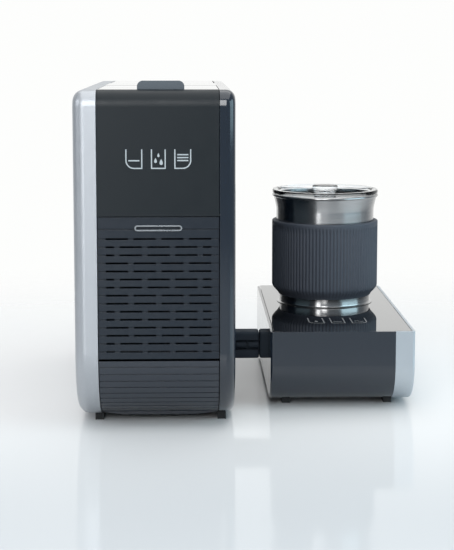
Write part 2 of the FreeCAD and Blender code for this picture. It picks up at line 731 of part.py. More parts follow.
def brew_chamber():
    body = rod((MID_X, SPOUT_Y, DECK_TOP), (0, 0, 1), CHAMBER_R, CHAMBER_H)
    cup = rod((MID_X, SPOUT_Y, CHAMBER_TOP - BASKET_DEPTH), (0, 0, 1), BASKET_R + REST_GAP, BASKET_DEPTH)
    outlet = rod((MID_X, SPOUT_Y, DECK_TOP), (0, 0, 1), SPOUT_BORE_R, CHAMBER_H)
    flange_seat = rod((MID_X, SPOUT_Y, DECK_TOP), (0, 0, 1), SPOUT_FLANGE_R + SCREW_CLEAR, SPOUT_FLANGE_T)
    rear = SPOUT_Y + CHAMBER_R
    inlet = rod((MID_X, rear - WALL, BREW_HOSE_Z), (0, 1, 0), SPIGOT_R, SPIGOT_L + WALL)
    return body.cut([cup, outlet, flange_seat]).fuse(inlet)


def pod_basket():
    floor_z = CHAMBER_TOP - BASKET_DEPTH + REST_GAP
    flange_r = BASKET_R + BASKET_FLANGE
    inside_r = BASKET_R - BASKET_WALL
    profile = [(0, floor_z), (BASKET_R, floor_z), (BASKET_R, CHAMBER_TOP), (flange_r, CHAMBER_TOP),
               (flange_r, BASKET_TOP), (inside_r, BASKET_TOP), (inside_r, floor_z + BASKET_WALL),
               (0, floor_z + BASKET_WALL)]
    holes = [rod((x, y, floor_z), (0, 0, 1), BASKET_HOLE_R, BASKET_WALL)
             for x, y in ring_places(MID_X, SPOUT_Y, BASKET_HOLE_RING_R, BASKET_HOLES)]
    return turned(profile, MID_X, SPOUT_Y).cut(holes)


def top_lid():
    left, right = OPEN_L + MOVE_GAP, OPEN_R - MOVE_GAP
    plate = block(left, right, LID_FRONT, LID_HINGE_Y, LID_UNDER, MACHINE_H)
    roll = rod((left, LID_HINGE_Y, LID_HINGE_Z), (1, 0, 0), LID_ROLL_R, right - left)
    bores = [rod((x, LID_HINGE_Y, LID_HINGE_Z), (reach, 0, 0), LID_PIN_R + PIN_CLEAR,
                 LID_PIN_REACH + MOVE_GAP) for x, reach in ((left, 1), (right, -1))]
    return plate.fuse(roll).removeSplitter().cut(bores)


def lid_tab():
    """Upright finger tab at the lid's front edge, with round upper corners."""
    left = MID_X + TAB_SHIFT_X - TAB_W / 2
    front = LID_FRONT + SEAM
    tab = block(left, left + TAB_W, front, front + TAB_T, MACHINE_H, MACHINE_H + TAB_H)
    upper = [e for e in tab.Edges
             if e.Length < TAB_T + SEAM and min(v.Z for v in e.Vertexes) > MACHINE_H + TAB_H / 2]
    along_y = [e for e in upper if abs(e.Vertexes[0].Y - e.Vertexes[1].Y) > TAB_T / 2]
    return tab.makeFillet(min(TAB_CORNER_R, TAB_H - SEAM), along_y)


def shower_head():
    plate_top = SHOWER_Z + SHOWER_PLATE_T
    profile = [(0, SHOWER_Z), (SHOWER_R, SHOWER_Z), (SHOWER_R, plate_top), (SHOWER_NECK_R, plate_top),
               (SHOWER_NECK_R, LID_UNDER), (0, LID_UNDER)]
    holes = [rod((x, y, SHOWER_Z), (0, 0, 1), SHOWER_HOLE_R, SHOWER_PLATE_T / 2)
             for x, y in ring_places(MID_X, SPOUT_Y, SHOWER_HOLE_RING_R, SHOWER_HOLES)]
    return turned(profile, MID_X, SPOUT_Y).cut(holes)


def brew_gasket():
    inner = SHOWER_R - GASKET_T
    return tube(MID_X, SPOUT_Y, SHOWER_Z - GASKET_T, SHOWER_Z, inner, SHOWER_R)


def rear_top_cover():
    return block(OPEN_L, OPEN_R, COVER_FRONT, TANK_FRONT - MOVE_GAP, LID_UNDER, MACHINE_H)


# Water tank
def tank_seat():
    """Floor and bulkhead of the tank's well, with the socket that opens the tank's valve."""
    well_front = TANK_FRONT - MOVE_GAP
    bulkhead = block(OPEN_L, OPEN_R, well_front - BULKHEAD_T, well_front, BASE_TOP, LID_UNDER)
    floor = block(OPEN_L, OPEN_R, well_front, MACHINE_D - WALL, SEAT_Z, SEAT_TOP)
    socket = rod((MID_X, VALVE_Y, SEAT_TOP - SOCKET_H), (0, 0, 1), SOCKET_R, SOCKET_H)
    valve_hole = rod((MID_X, VALVE_Y, SEAT_TOP - VALVE_H - REST_GAP), (0, 0, 1), VALVE_R + MOVE_GAP,
                     VALVE_H + REST_GAP)
    spigot_z = SEAT_TOP - SOCKET_H - SPIGOT_L
    spigot = rod((MID_X, VALVE_Y, spigot_z), (0, 0, 1), SPIGOT_R, SPIGOT_L)
    hose_hole = rod((SUCTION_RUN_X, well_front - BULKHEAD_T, PUMP_Z), (0, 1, 0), HOSE_R + MOVE_GAP,
                    BULKHEAD_T)
    return bulkhead.fuse([floor, socket, spigot]).removeSplitter().cut([valve_hole, hose_hole])


def tank_box(inset):
    left, right = OPEN_L + TANK_GAP + inset, OPEN_R - TANK_GAP - inset
    return left, right, TANK_FRONT + inset, TANK_BACK - MOVE_GAP - inset


def water_tank():
    outer = block(*tank_box(0), TANK_Z, TANK_TOP)
    inner = block(*tank_box(TANK_WALL), TANK_Z + TANK_WALL, TANK_TOP)
    hole = rod((MID_X, VALVE_Y, TANK_Z), (0, 0, 1), VALVE_R - TANK_WALL, TANK_WALL)
    return outer.cut([inner, hole])


def tank_valve():
    """Spring valve below the tank's floor; its neck fills the hole in the floor."""
    profile = [(0, TANK_Z - VALVE_H + REST_GAP), (VALVE_BORE_R, TANK_Z - VALVE_H + REST_GAP),
               (VALVE_R, TANK_Z - VALVE_H / 2), (VALVE_R, TANK_Z),
               (VALVE_R - TANK_WALL - SCREW_CLEAR, TANK_Z),
               (VALVE_R - TANK_WALL - SCREW_CLEAR, TANK_Z + TANK_WALL), (0, TANK_Z + TANK_WALL)]
    return turned(profile, MID_X, VALVE_Y)


def tank_lid():
    left, right, front, back = tank_box(0)
    plate = block(left, right, front, back, MACHINE_H - TANK_LID_T, MACHINE_H)
    grip_y = back - TANK_GRIP_D
    grip = block(MID_X - TANK_GRIP_W / 2, MID_X + TANK_GRIP_W / 2, grip_y - TANK_GRIP_D, grip_y,
                 MACHINE_H - TANK_GRIP_DEEP, MACHINE_H)
    plug_box = tank_box(TANK_WALL + MOVE_GAP)
    plug = block(*plug_box, MACHINE_H - TANK_LID_T - TANK_LID_PLUG, MACHINE_H - TANK_LID_T)
    hollow = block(*tank_box(2 * TANK_WALL + MOVE_GAP), MACHINE_H - TANK_LID_T - TANK_LID_PLUG,
                   MACHINE_H - TANK_LID_T)
    return plate.fuse(plug.cut(hollow)).removeSplitter().cut(grip)


# Pump, boiler, hoses and boards
def pump():
    body = rod((PUMP_LEFT, PUMP_Y, PUMP_Z), (1, 0, 0), PUMP_R, PUMP_RIGHT - PUMP_LEFT)
    ports = [rod((PUMP_LEFT - SPIGOT_L, PUMP_Y, PUMP_Z), (1, 0, 0), SPIGOT_R, SPIGOT_L),
             rod((PUMP_RIGHT, PUMP_Y, PUMP_Z), (1, 0, 0), SPIGOT_R, SPIGOT_L)]
    return body.fuse(ports)


def pump_mounts():
    """Two rubber saddles between the pump and the base plate."""
    saddles = []
    for x in (PUMP_LEFT + MOUNT_T, PUMP_RIGHT - 2 * MOUNT_T):
        saddle = block(x, x + MOUNT_T, PUMP_Y - MOUNT_W / 2, PUMP_Y + MOUNT_W / 2, BASE_TOP, PUMP_Z)
        saddles.append(saddle.cut(rod((x, PUMP_Y, PUMP_Z), (1, 0, 0), PUMP_R + SCREW_CLEAR, MOUNT_T)))
    return Part.makeCompound(saddles)


def boiler():
    """Heating block held by four lugs on the back of the cup bay."""
    left, right = BOILER_LEFT, BOILER_RIGHT
    body = block(left, right, BOILER_FRONT, BOILER_FRONT + BOILER_D, BOILER_Z, BOILER_TOP)
    lugs = [block(x, x + BOILER_LUG, BAY_BACK, BOILER_FRONT, z, z + BOILER_LUG)
            for x in (left, right - BOILER_LUG) for z in (BOILER_Z, BOILER_TOP - BOILER_LUG)]
    inlet = rod((right, PUMP_Y, BOILER_Z + BOILER_H / 2), (1, 0, 0), SPIGOT_R, SPIGOT_L)
    outlet = rod((MID_X, PUMP_Y, BOILER_TOP), (0, 0, 1), SPIGOT_R, SPIGOT_L)
    return body.fuse(lugs + [inlet, outlet])


def pressure_hose():
    inlet_z = BOILER_Z + BOILER_H / 2
    path = [(PUMP_RIGHT + SPIGOT_L, PUMP_Y, PUMP_Z), (HOSE_RUN_X, PUMP_Y, PUMP_Z),
            (HOSE_RUN_X, PUMP_Y, inlet_z), (BOILER_RIGHT + SPIGOT_L, PUMP_Y, inlet_z)]
    return hose(path, HOSE_BEND, HOSE_R)


def brew_hose():
    return hose([(MID_X, PUMP_Y, BOILER_TOP + SPIGOT_L), (MID_X, PUMP_Y, BREW_HOSE_Z),
                 (MID_X, SPOUT_Y + CHAMBER_R + SPIGOT_L, BREW_HOSE_Z)], HOSE_BEND, HOSE_R)


def suction_hose():
    meter_front = VALVE_Y - METER_SIZE / 2
    return hose([(PUMP_LEFT - SPIGOT_L, PUMP_Y, PUMP_Z), (SUCTION_RUN_X, PUMP_Y, PUMP_Z),
                 (SUCTION_RUN_X, meter_front, PUMP_Z)], HOSE_BEND, HOSE_R)


def tank_hose():
    return hose([(OPEN_L + METER_SIZE, VALVE_Y, PUMP_Z), (MID_X, VALVE_Y, PUMP_Z),
                 (MID_X, VALVE_Y, SEAT_TOP - SOCKET_H - SPIGOT_L)], HOSE_BEND, HOSE_R)


def flow_meter():
    half = METER_SIZE / 2
    return block(OPEN_L, OPEN_L + METER_SIZE, VALVE_Y - half, VALVE_Y + half, BASE_TOP, BASE_TOP + METER_H)


def control_board():
    """Circuit board on four posts at the outside of the left cheek, with its larger components."""
    cheek_x = OPEN_L - CHEEK_T
    board_x = cheek_x - BOARD_POST
    y0, z0 = CONTROL_BOARD_Y, CONTROL_BOARD_Z
    y1, z1 = y0 + CONTROL_BOARD_D, z0 + CONTROL_BOARD_H
    board = block(board_x - BOARD_T, board_x, y0, y1, z0, z1)
    edge = BOARD_MARGIN
    posts = [rod((board_x, y, z), (1, 0, 0), BOARD_POST_R, BOARD_POST)
             for y in (y0 + edge, y1 - edge) for z in (z0 + edge, z1 - edge)]
    face_x = board_x - BOARD_T
    height = (face_x - (X_LEFT + WALL)) / 2
    low_z = z0 + 3 * edge
    relay = block(face_x - height, face_x, y0 + 3 * edge, y0 + 3 * edge + RELAY_L, low_z, low_z + RELAY_W)
    capacitor = rod((face_x, y1 - 5 * edge, z1 - 5 * edge), (-1, 0, 0), CAPACITOR_R, height)
    chip_y = y1 - 4 * edge
    chip = block(face_x - BOARD_T, face_x, chip_y - CHIP_SIZE, chip_y, low_z, low_z + CHIP_SIZE)
    return board.fuse(posts + [relay, capacitor, chip])


def touch_board():
    return block(MID_X - TOUCH_BOARD_W / 2, MID_X + TOUCH_BOARD_W / 2, WALL, WALL + BOARD_T,
                 TOUCH_BOARD_Z, TOUCH_BOARD_TOP)


# Mains inlet and switch
def centred_block(x, z, width, height, y0, y1):
    return block(x - width / 2, x + width / 2, y0, y1, z - height / 2, z + height / 2)


def power_inlet():
    """Appliance inlet: a flanged socket with three flat contacts in its recess."""
    back = MACHINE_D
    width, height = INLET_W - 2 * SCREW_CLEAR, INLET_H - 2 * SCREW_CLEAR
    body = centred_block(INLET_X, INLET_Z, width, height, back - INLET_DEPTH, back)
    recess = centred_block(INLET_X, INLET_Z, width - 2 * INLET_WALL, height - 2 * INLET_WALL,
                           back - INLET_RECESS, back)
    inner_flange = centred_block(INLET_X, INLET_Z, width + INLET_FLANGE, height + INLET_FLANGE,
                                 back - WALL - INLET_FLANGE_T, back - WALL)
    flange = inner_flange.cut(centred_block(INLET_X, INLET_Z, width, height, back - INLET_DEPTH, back))
    contacts = [centred_block(INLET_X + i * CONTACT_SPREAD, INLET_Z, CONTACT_W, CONTACT_H,
                              back - INLET_RECESS, back - INLET_RECESS + CONTACT_L) for i in (-1, 0, 1)]
    return body.cut(recess).fuse(contacts + [flange]).removeSplitter()


def switch_housing():
    back = MACHINE_D
    width, height = SWITCH_W - 2 * SCREW_CLEAR, SWITCH_H - 2 * SCREW_CLEAR
    body = centred_block(SWITCH_X, SWITCH_Z, width, height, back - SWITCH_DEPTH, back)
    recess = centred_block(SWITCH_X, SWITCH_Z, width - 2 * SWITCH_WALL, height - 2 * SWITCH_WALL,
                           back - SWITCH_DEPTH + SWITCH_WALL, back)
    flange = centred_block(SWITCH_X, SWITCH_Z, width + INLET_FLANGE, height + INLET_FLANGE,
                           back - WALL - INLET_FLANGE_T, back - WALL)
    flange = flange.cut(centred_block(SWITCH_X, SWITCH_Z, width, height, back - SWITCH_DEPTH, back))
    pivot = switch_pivot(ROCKER_PIN_R + PIN_CLEAR, SWITCH_WALL)
    return body.cut(recess).fuse(flange).removeSplitter().cut(pivot)


def switch_pivot(radius, into_wall):
    """Level pin across the switch, reaching into both walls of its housing."""
    inside = SWITCH_W / 2 - SCREW_CLEAR - SWITCH_WALL
    half = inside + into_wall
    return rod((SWITCH_X - half, ROCKER_Y, SWITCH_Z), (1, 0, 0), radius, 2 * half)


def switch_rocker():
    """Rocker with a shallow vee face, tipped to its off side, turning about a level axis."""
    width = SWITCH_W - 2 * SWITCH_WALL - 2 * MOVE_GAP
    half_h = SWITCH_H / 2 - SWITCH_WALL - 2 * MOVE_GAP
    tip_y = MACHINE_D - SWITCH_WALL
    corners = [(ROCKER_Y - SWITCH_WALL, -half_h / 2), (ROCKER_Y, -half_h), (tip_y, -half_h),
               (tip_y - SWITCH_WALL, 0), (tip_y, half_h), (ROCKER_Y, half_h),
               (ROCKER_Y - SWITCH_WALL, half_h / 2)]
    points = [Vector(SWITCH_X - width / 2, y, SWITCH_Z + z) for y, z in corners]
    rocker = Part.Face(Part.makePolygon(points + points[:1])).extrude(Vector(width, 0, 0))
    rocker.rotate(Vector(SWITCH_X, ROCKER_Y, SWITCH_Z), Vector(1, 0, 0), ROCKER_TILT)
    return rocker.fuse(switch_pivot(ROCKER_PIN_R, ROCKER_PIN_IN))


# Dock
def dock_block(x0, x1, free_end):
    """Block with rounded long edges and a rounded free end."""
    body = block(x0, x1, DOCK_Y, DOCK_Y + DOCK_D, DOCK_Z, DOCK_Z + DOCK_H)
    edges = [e for e in body.Edges if any(abs(v.X - free_end) < SEAM for v in e.Vertexes)]
    return body.makeFillet(DOCK_EDGE_R, edges)


def dock_spigot(clearance):
    """Square spigot that carries the dock arm through the right side panel to the cheek."""
    half = DOCK_SPIGOT / 2 + clearance
    y, z = DOCK_Y + DOCK_D / 2, DOCK_Z + DOCK_H / 2
    return block(OPEN_R + CHEEK_T, X_RIGHT, y - half, y + half, z - half, z + half)


def contact_places():
    y = DOCK_Y + DOCK_D / 2
    return [(y + i * PIN_PITCH, DOCK_Z + PIN_RISE) for i in (-1, 0, 1)]


def dock_arm():
    """Arm on the machine's side: a band of barrels in front and three sockets in its end."""
    end = X_RIGHT + ARM_LENGTH
    arm = dock_block(X_RIGHT, end, end)
    band_z = DOCK_Z + DOCK_H / 2
    band_half = DOCK_BAND_H / 2
    band = block(X_RIGHT, end, DOCK_Y, DOCK_Y + DOCK_BAND_DEEP, band_z - band_half, band_z + band_half)
    sockets = [rod((end - PIN_L + DOCK_GAP - REST_GAP, y, z), (1, 0, 0), PIN_R + DOCK_PIN_CLEAR, PIN_L)
               for y, z in contact_places()]
    first = X_RIGHT + BARREL_START
    barrels = [rod((first + i * (BARREL_L + BARREL_GAP), DOCK_Y + DOCK_BAND_DEEP, band_z),
                   (1, 0, 0), BARREL_R, BARREL_L) for i in (0, 1)]
    return arm.cut([band] + sockets).fuse(barrels + [dock_spigot(0)]).removeSplitter()


def dock_plug():
    start = X_RIGHT + ARM_LENGTH + DOCK_GAP
    plug = dock_block(start, FROTHER_L, start)
    pins = [rod((start - PIN_L + DOCK_GAP, y, z), (1, 0, 0), PIN_R, PIN_L) for y, z in contact_places()]
    return plug.fuse(pins)


# Milk frother
def frother_housing():
    """Dark shell: left wall, curved front, floor and rear, with bosses and pillars inside."""
    outer = frother_slab(FROTHER_L, FROTHER_SEAM, 0, 0)
    inner = frother_slab(FROTHER_L + WALL, FROTHER_SEAM, WALL, FROTHER_H)
    above = block(FROTHER_L, FROTHER_SEAM, FROTHER_FRONT, FROTHER_BACK, FROTHER_H, 2 * FROTHER_H)
    shell = rounded_tray(outer, inner, FROTHER_L, FROTHER_L + WALL, FROTHER_EDGE_R, FROTHER_EDGE_R / 2)
    bosses = [rod((x, y, FROTHER_FLOOR), (0, 0, 1), BOSS_R, PLATE_UNDER - FROTHER_FLOOR)
              for x in (FROTHER_L + BOSS_INSET_X, FROTHER_SEAM - BOSS_INSET_X)
              for y in (FROTHER_FRONT + BOSS_FRONT, FROTHER_BACK - BOSS_REAR)]
    pillars = [rod((x, y, FROTHER_FLOOR), (0, 0, 1), BOSS_R, COIL_Z - FROTHER_FLOOR)
               for x, y in ring_places(JUG_X, JUG_Y, PILLAR_RING_R, PILLARS)]
    return shell.cut(above).fuse(bosses + pillars)


def frother_side_panel():
    """Silver right side: a plate with a rim at the front, below and behind."""
    outer = frother_slab(FROTHER_SEAM, FROTHER_R, 0, 0)
    inner = frother_slab(FROTHER_SEAM, FROTHER_R - WALL, WALL, FROTHER_H)
    above = block(FROTHER_SEAM, FROTHER_R, FROTHER_FRONT, FROTHER_BACK, FROTHER_H, 2 * FROTHER_H)
    panel = rounded_tray(outer, inner, FROTHER_R, FROTHER_R - WALL, FROTHER_EDGE_R, FROTHER_EDGE_R / 2)
    return panel.cut(above)


def frother_top_plate():
    return block(FROTHER_L + WALL + SEAM, FROTHER_R - WALL - SEAM, FROTHER_FRONT + WALL + SEAM,
                 FROTHER_BACK - WALL - SEAM, PLATE_UNDER, FROTHER_H)


def frother_feet():
    body = frother_slab(FROTHER_L, FROTHER_R, 0, 0)
    feet = []
    for x in (FROTHER_L + FROTHER_FOOT_IN, FROTHER_R - FROTHER_RIGHT_FOOT_IN):
        for y in (FROTHER_FRONT + FROTHER_FOOT_Y, FROTHER_BACK - FROTHER_REAR_FOOT_IN):
            pad = block(x - FOOT_W / 2, x + FOOT_W / 2, y, y + FOOT_D, 0, GROUND_GAP + WALL)
            feet.append(pad.cut(body))
    return Part.makeCompound(feet)


def frother_motor():
    plate = block(JUG_X - MOTOR_PLATE / 2, JUG_X + MOTOR_PLATE / 2, JUG_Y - MOTOR_PLATE / 2,
                  JUG_Y + MOTOR_PLATE / 2, FROTHER_FLOOR, FROTHER_FLOOR + MOTOR_PLATE_T)
    can_z = FROTHER_FLOOR + MOTOR_PLATE_T
    can = rod((JUG_X, JUG_Y, can_z), (0, 0, 1), MOTOR_R, MOTOR_H)
    bore = rod((JUG_X, JUG_Y, can_z + MOTOR_H - SHAFT_IN - REST_GAP), (0, 0, 1), SHAFT_R + PIN_CLEAR,
               SHAFT_IN + REST_GAP)
    cut_corners = [rod((x, y, FROTHER_FLOOR), (0, 0, 1), BOSS_R + REST_GAP, MOTOR_PLATE_T)
                   for x, y in ring_places(JUG_X, JUG_Y, PILLAR_RING_R, PILLARS)]
    return plate.fuse(can).cut([bore] + cut_corners)


def drive_rotor():
    """Magnet disc on the motor's shaft; it turns the whisk through the jug's floor."""
    motor_top = FROTHER_FLOOR + MOTOR_PLATE_T + MOTOR_H
    shaft = rod((JUG_X, JUG_Y, motor_top - SHAFT_IN), (0, 0, 1), SHAFT_R, SHAFT_IN + ROTOR_RISE)
    disc = rod((JUG_X, JUG_Y, motor_top + ROTOR_RISE), (0, 0, 1), ROTOR_R, ROTOR_T)
    return shaft.fuse(disc)


def induction_coil():
    return tube(JUG_X, JUG_Y, COIL_Z, COIL_Z + COIL_T, COIL_IN_R, COIL_OUT_R)


def frother_board():
    x0 = (FROTHER_L + FROTHER_SEAM - FROTHER_BOARD_W) / 2
    y0 = FROTHER_FRONT + FROTHER_BOARD_Y
    x1, y1 = x0 + FROTHER_BOARD_W, y0 + FROTHER_BOARD_D
    board_z = FROTHER_FLOOR + BOARD_POST
    edge = BOARD_MARGIN
    posts = [rod((x, y, FROTHER_FLOOR), (0, 0, 1), BOARD_POST_R, BOARD_POST)
             for x in (x0 + edge, x1 - edge) for y in (y0 + edge, y1 - edge)]
    top = board_z + BOARD_T
    relay_x = x0 + 3 * edge
    relay = block(relay_x, relay_x + RELAY_W, y0 + edge, y0 + edge + RELAY_L, top, top + RELAY_H)
    return block(x0, x1, y0, y1, board_z, top).fuse(posts + [relay])


def frother_touch_board():
    x0 = (FROTHER_L + FROTHER_R - PAD_BOARD_W) / 2
    y0 = FROTHER_FRONT + PAD_BOARD_Y
    return block(x0, x0 + PAD_BOARD_W, y0, y0 + PAD_BOARD_D, PLATE_UNDER - BOARD_T, PLATE_UNDER)


# Milk jug, its lid and its whisk
def jug_shell():
    """Steel jug with a flared foot, a straight wall and a rolled-out rim; a pin stands on its floor."""
    inside_r = JUG_R - JUG_WALL
    foot_inside = FOOT_R - JUG_WALL
    profile = [
        (0, JUG_FLOOR - JUG_WALL), (foot_inside - JUG_WALL, JUG_FLOOR - JUG_WALL),
        (foot_inside, JUG_Z), (FOOT_FLARE_R, JUG_Z), (FOOT_FLARE_R, JUG_Z + FOOT_FLARE_H),
        (FOOT_R, JUG_Z + FOOT_BLEND_H), (FOOT_R, JUG_Z + FOOT_NECK_H), (JUG_R, JUG_Z + SHOULDER_H),
        (JUG_R, JUG_TOP - RIM_H), (RIM_R, JUG_TOP - RIM_T), (RIM_R, JUG_TOP),
        (inside_r + RIM_R - JUG_R - RIM_T, JUG_TOP), (inside_r, JUG_TOP - RIM_H),
        (inside_r, JUG_Z + SHOULDER_H + JUG_WALL), (foot_inside, JUG_Z + FOOT_NECK_H + JUG_WALL),
        (foot_inside, JUG_FLOOR),
        (WHISK_PIN_R, JUG_FLOOR), (WHISK_PIN_R, JUG_FLOOR + WHISK_PIN_H), (0, JUG_FLOOR + WHISK_PIN_H),
    ]
    return turned(profile, JUG_X, JUG_Y)


def jug_sleeve():
    """Soft grip round the jug, drawn in at its lower end; its inside follows the jug's shoulder."""
    inner = JUG_R + SLEEVE_FIT
    low_inner = FOOT_R + SLEEVE_FIT
    bottom = JUG_Z + SLEEVE_BOTTOM
    top = JUG_Z + SLEEVE_TOP
    profile = [
        (low_inner, bottom), (low_inner, JUG_Z + FOOT_NECK_H), (inner, JUG_Z + SHOULDER_H),
        (inner, top), (SLEEVE_R - SLEEVE_TOP_R, top), (SLEEVE_R, top - SLEEVE_TOP_R),
        (SLEEVE_R, bottom + SLEEVE_CHAMFER), (low_inner + SLEEVE_TOP_R, bottom),
    ]
    return turned(profile, JUG_X, JUG_Y)


def jug_lid():
    """Clear lid: a ring on the jug's rim and a plate sunk into its mouth."""
    ring_z = JUG_TOP + REST_GAP
    ring_top = ring_z + JUG_LID_RING_H
    plate_z = JUG_TOP - JUG_LID_DROP
    plate_top = plate_z + JUG_LID_T
    well_r = LID_NECK_R - JUG_LID_T
    profile = [
        (0, plate_z), (LID_NECK_R, plate_z), (LID_NECK_R, ring_z), (JUG_LID_R, ring_z),
        (JUG_LID_R, ring_top), (JUG_LID_R - JUG_LID_RING_W, ring_top),
        (well_r, ring_top - JUG_LID_T), (well_r, plate_top), (0, plate_top),
    ]
    groove = tube(JUG_X, JUG_Y, SEAL_Z, SEAL_Z + SEAL_T, LID_NECK_R - SEAL_BITE, LID_NECK_R)
    return turned(profile, JUG_X, JUG_Y).cut(groove)


def lid_seal():
    """Soft ring in the lid's groove that meets the jug's flared mouth."""
    return tube(JUG_X, JUG_Y, SEAL_Z, SEAL_Z + SEAL_T, LID_NECK_R - SEAL_BITE, LID_NECK_R + SEAL_OUT)


def lid_knob():
    z0 = JUG_TOP - JUG_LID_DROP + JUG_LID_T
    cap_z = z0 + KNOB_H - KNOB_CAP_H
    profile = [(0, z0), (KNOB_NECK_R, z0), (KNOB_NECK_R, cap_z), (KNOB_R, cap_z),
               (KNOB_R, z0 + KNOB_H - WALL / 2), (KNOB_R - WALL / 2, z0 + KNOB_H), (0, z0 + KNOB_H)]
    return turned(profile, JUG_X, JUG_Y)


def whisk():
    """Whisk that stands on the jug's pin: a hub, spokes and a wire ring."""
    z0 = JUG_FLOOR + REST_GAP
    ring_z = z0 + 2 * WHISK_WIRE_R
    hub = tube(JUG_X, JUG_Y, z0, JUG_FLOOR + WHISK_PIN_H, WHISK_PIN_R + PIN_CLEAR, WHISK_HUB_R)
    ring = Part.makeTorus(WHISK_RING_R, WHISK_WIRE_R, Vector(JUG_X, JUG_Y, ring_z))
    spokes = []
    for x, y in ring_places(0, 0, 1, WHISK_SPOKES):
        start = (WHISK_PIN_R + WHISK_HUB_R) / 2
        spokes.append(rod((JUG_X + start * x, JUG_Y + start * y, ring_z), (x, y, 0), WHISK_WIRE_R / 2,
                          WHISK_RING_R - start))
    return hub.fuse(spokes + [ring]).removeSplitter()


NODES = {
    "left_side_panel": left_side_panel,
    "right_side_panel": right_side_panel,
    "left_cheek": lambda: cheek(OPEN_L - CHEEK_T),
    "right_cheek": lambda: cheek(OPEN_R),
    "base_plate": base_plate,
    "upper_front_panel": upper_front_panel,
    "rear_panel": rear_panel,
    "rear_top_cover": rear_top_cover,
    "machine_feet": machine_feet,
    "foot_screws": foot_screws,
    "bay_liner": bay_liner,
    "front_door": front_door,
    "door_pull": door_pull,
    "door_pins": lambda: side_pins(DOOR_PIN_Y, DOOR_PIN_Z, DOOR_PIN_R, DOOR_PIN_REACH),
    "drawer_front": drawer_front,
    "drip_tray": drip_tray,
    "drip_grid": drip_grid,
    "coffee_spout": coffee_spout,
    "brew_chamber": brew_chamber,
    "pod_basket": pod_basket,
    "top_lid": top_lid,
    "lid_tab": lid_tab,
    "lid_pins": lambda: side_pins(LID_HINGE_Y, LID_HINGE_Z, LID_PIN_R, LID_PIN_REACH),
    "shower_head": shower_head,
    "brew_gasket": brew_gasket,
    "tank_seat": tank_seat,
    "water_tank": water_tank,
    "tank_valve": tank_valve,
    "tank_lid": tank_lid,
    "pump": pump,
    "pump_mounts": pump_mounts,
    "boiler": boiler,
    "pressure_hose": pressure_hose,
    "brew_hose": brew_hose,
    "suction_hose": suction_hose,
    "tank_hose": tank_hose,
    "flow_meter": flow_meter,
    "control_board": control_board,
    "touch_board": touch_board,
    "power_inlet": power_inlet,
    "switch_housing": switch_housing,
    "switch_rocker": switch_rocker,
    "dock_arm": dock_arm,
    "dock_plug": dock_plug,
    "frother_housing": frother_housing,
    "frother_side_panel": frother_side_panel,
    "frother_top_plate": frother_top_plate,
    "frother_feet": frother_feet,
    "frother_motor": frother_motor,
    "drive_rotor": drive_rotor,
    "induction_coil": induction_coil,
    "frother_board": frother_board,
    "frother_touch_board": frother_touch_board,
    "jug_shell": jug_shell,
    "jug_sleeve": jug_sleeve,
    "jug_lid": jug_lid,
    "lid_seal": lid_seal,
    "lid_knob": lid_knob,
    "whisk": whisk,
}

os.makedirs("parts", exist_ok=True)
for name, make in NODES.items():
    piece = make()
    piece.translate(ORIGIN)
    piece.exportStep("parts/" + name + ".step")
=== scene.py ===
import json
import math

import bpy
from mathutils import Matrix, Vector


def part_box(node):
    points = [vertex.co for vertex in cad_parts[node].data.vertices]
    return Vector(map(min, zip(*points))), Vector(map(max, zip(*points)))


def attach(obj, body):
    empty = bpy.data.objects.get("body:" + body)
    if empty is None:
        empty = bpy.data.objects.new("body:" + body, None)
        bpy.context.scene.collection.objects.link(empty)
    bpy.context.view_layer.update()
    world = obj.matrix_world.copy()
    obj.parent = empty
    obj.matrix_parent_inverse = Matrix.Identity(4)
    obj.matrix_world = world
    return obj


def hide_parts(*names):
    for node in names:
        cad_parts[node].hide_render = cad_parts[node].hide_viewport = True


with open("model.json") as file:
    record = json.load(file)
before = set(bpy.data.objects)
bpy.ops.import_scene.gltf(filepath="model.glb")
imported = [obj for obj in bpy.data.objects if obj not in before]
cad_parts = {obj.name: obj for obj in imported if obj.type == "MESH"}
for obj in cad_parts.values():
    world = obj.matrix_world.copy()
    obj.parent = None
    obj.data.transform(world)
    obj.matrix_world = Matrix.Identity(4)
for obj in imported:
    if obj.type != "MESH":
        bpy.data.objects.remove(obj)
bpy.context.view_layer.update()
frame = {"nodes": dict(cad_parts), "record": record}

# All lengths are in metres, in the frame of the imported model.

# Printed marks in general
PRINT_RAISE = 0.00012
PRINT_SINK = 0.00005
MITRE_LIMIT = 0.5
CORNER_STEPS = 10
DROP_STEPS = 20
DROP_LENGTH = 1.35
DROP_TAPER = 0.6

# Printed marks on the machine's upper front
MARK_TOP_DROP = 0.0506
MARK_HEIGHT = 0.0163
MARK_PITCH = 0.0209
MARK_WIDE = 0.0135
MARK_NARROW = 0.0117
MARK_SHIFT = 0.0003
MARK_STROKE = 0.0010
MARK_CORNER_R = 0.0068
MARK_LINE_W = 0.0095
MARK_LINE_T = 0.0011
MARK_LINE_STEP = 0.0025
MARK_LINE_COUNT = 3
MARK_LOW_LINE = 0.0067
MARK_ONE_LINE = 0.0066
MARK_DROPS = (      # across, up, radius
    (0.0001, 0.0114, 0.0013),
    (-0.0024, 0.0067, 0.0016),
    (0.0024, 0.0054, 0.0019),
)

# Printed marks on the frother's top plate
PAD_FRONT = 0.0405
PAD_LENGTH = 0.0260
PAD_PITCH = 0.0205
PAD_WIDE = 0.0140
PAD_NARROW = 0.0125
PAD_STROKE = 0.0012
PAD_CORNER_R = 0.0065
PAD_DROP_UP = 0.0095
PAD_DROP_R = 0.0022
PAD_LINE_W = 0.0084
PAD_LINE_UP = 0.0080
PAD_WAVE_UP = 0.0090
PAD_WAVE_H = 0.0016
PAD_WAVE_STEPS = 12

# Turned pieces
ROUND_SEGMENTS = 160
EDGE_STEPS = 6
SMOOTH_ANGLE = math.radians(50)

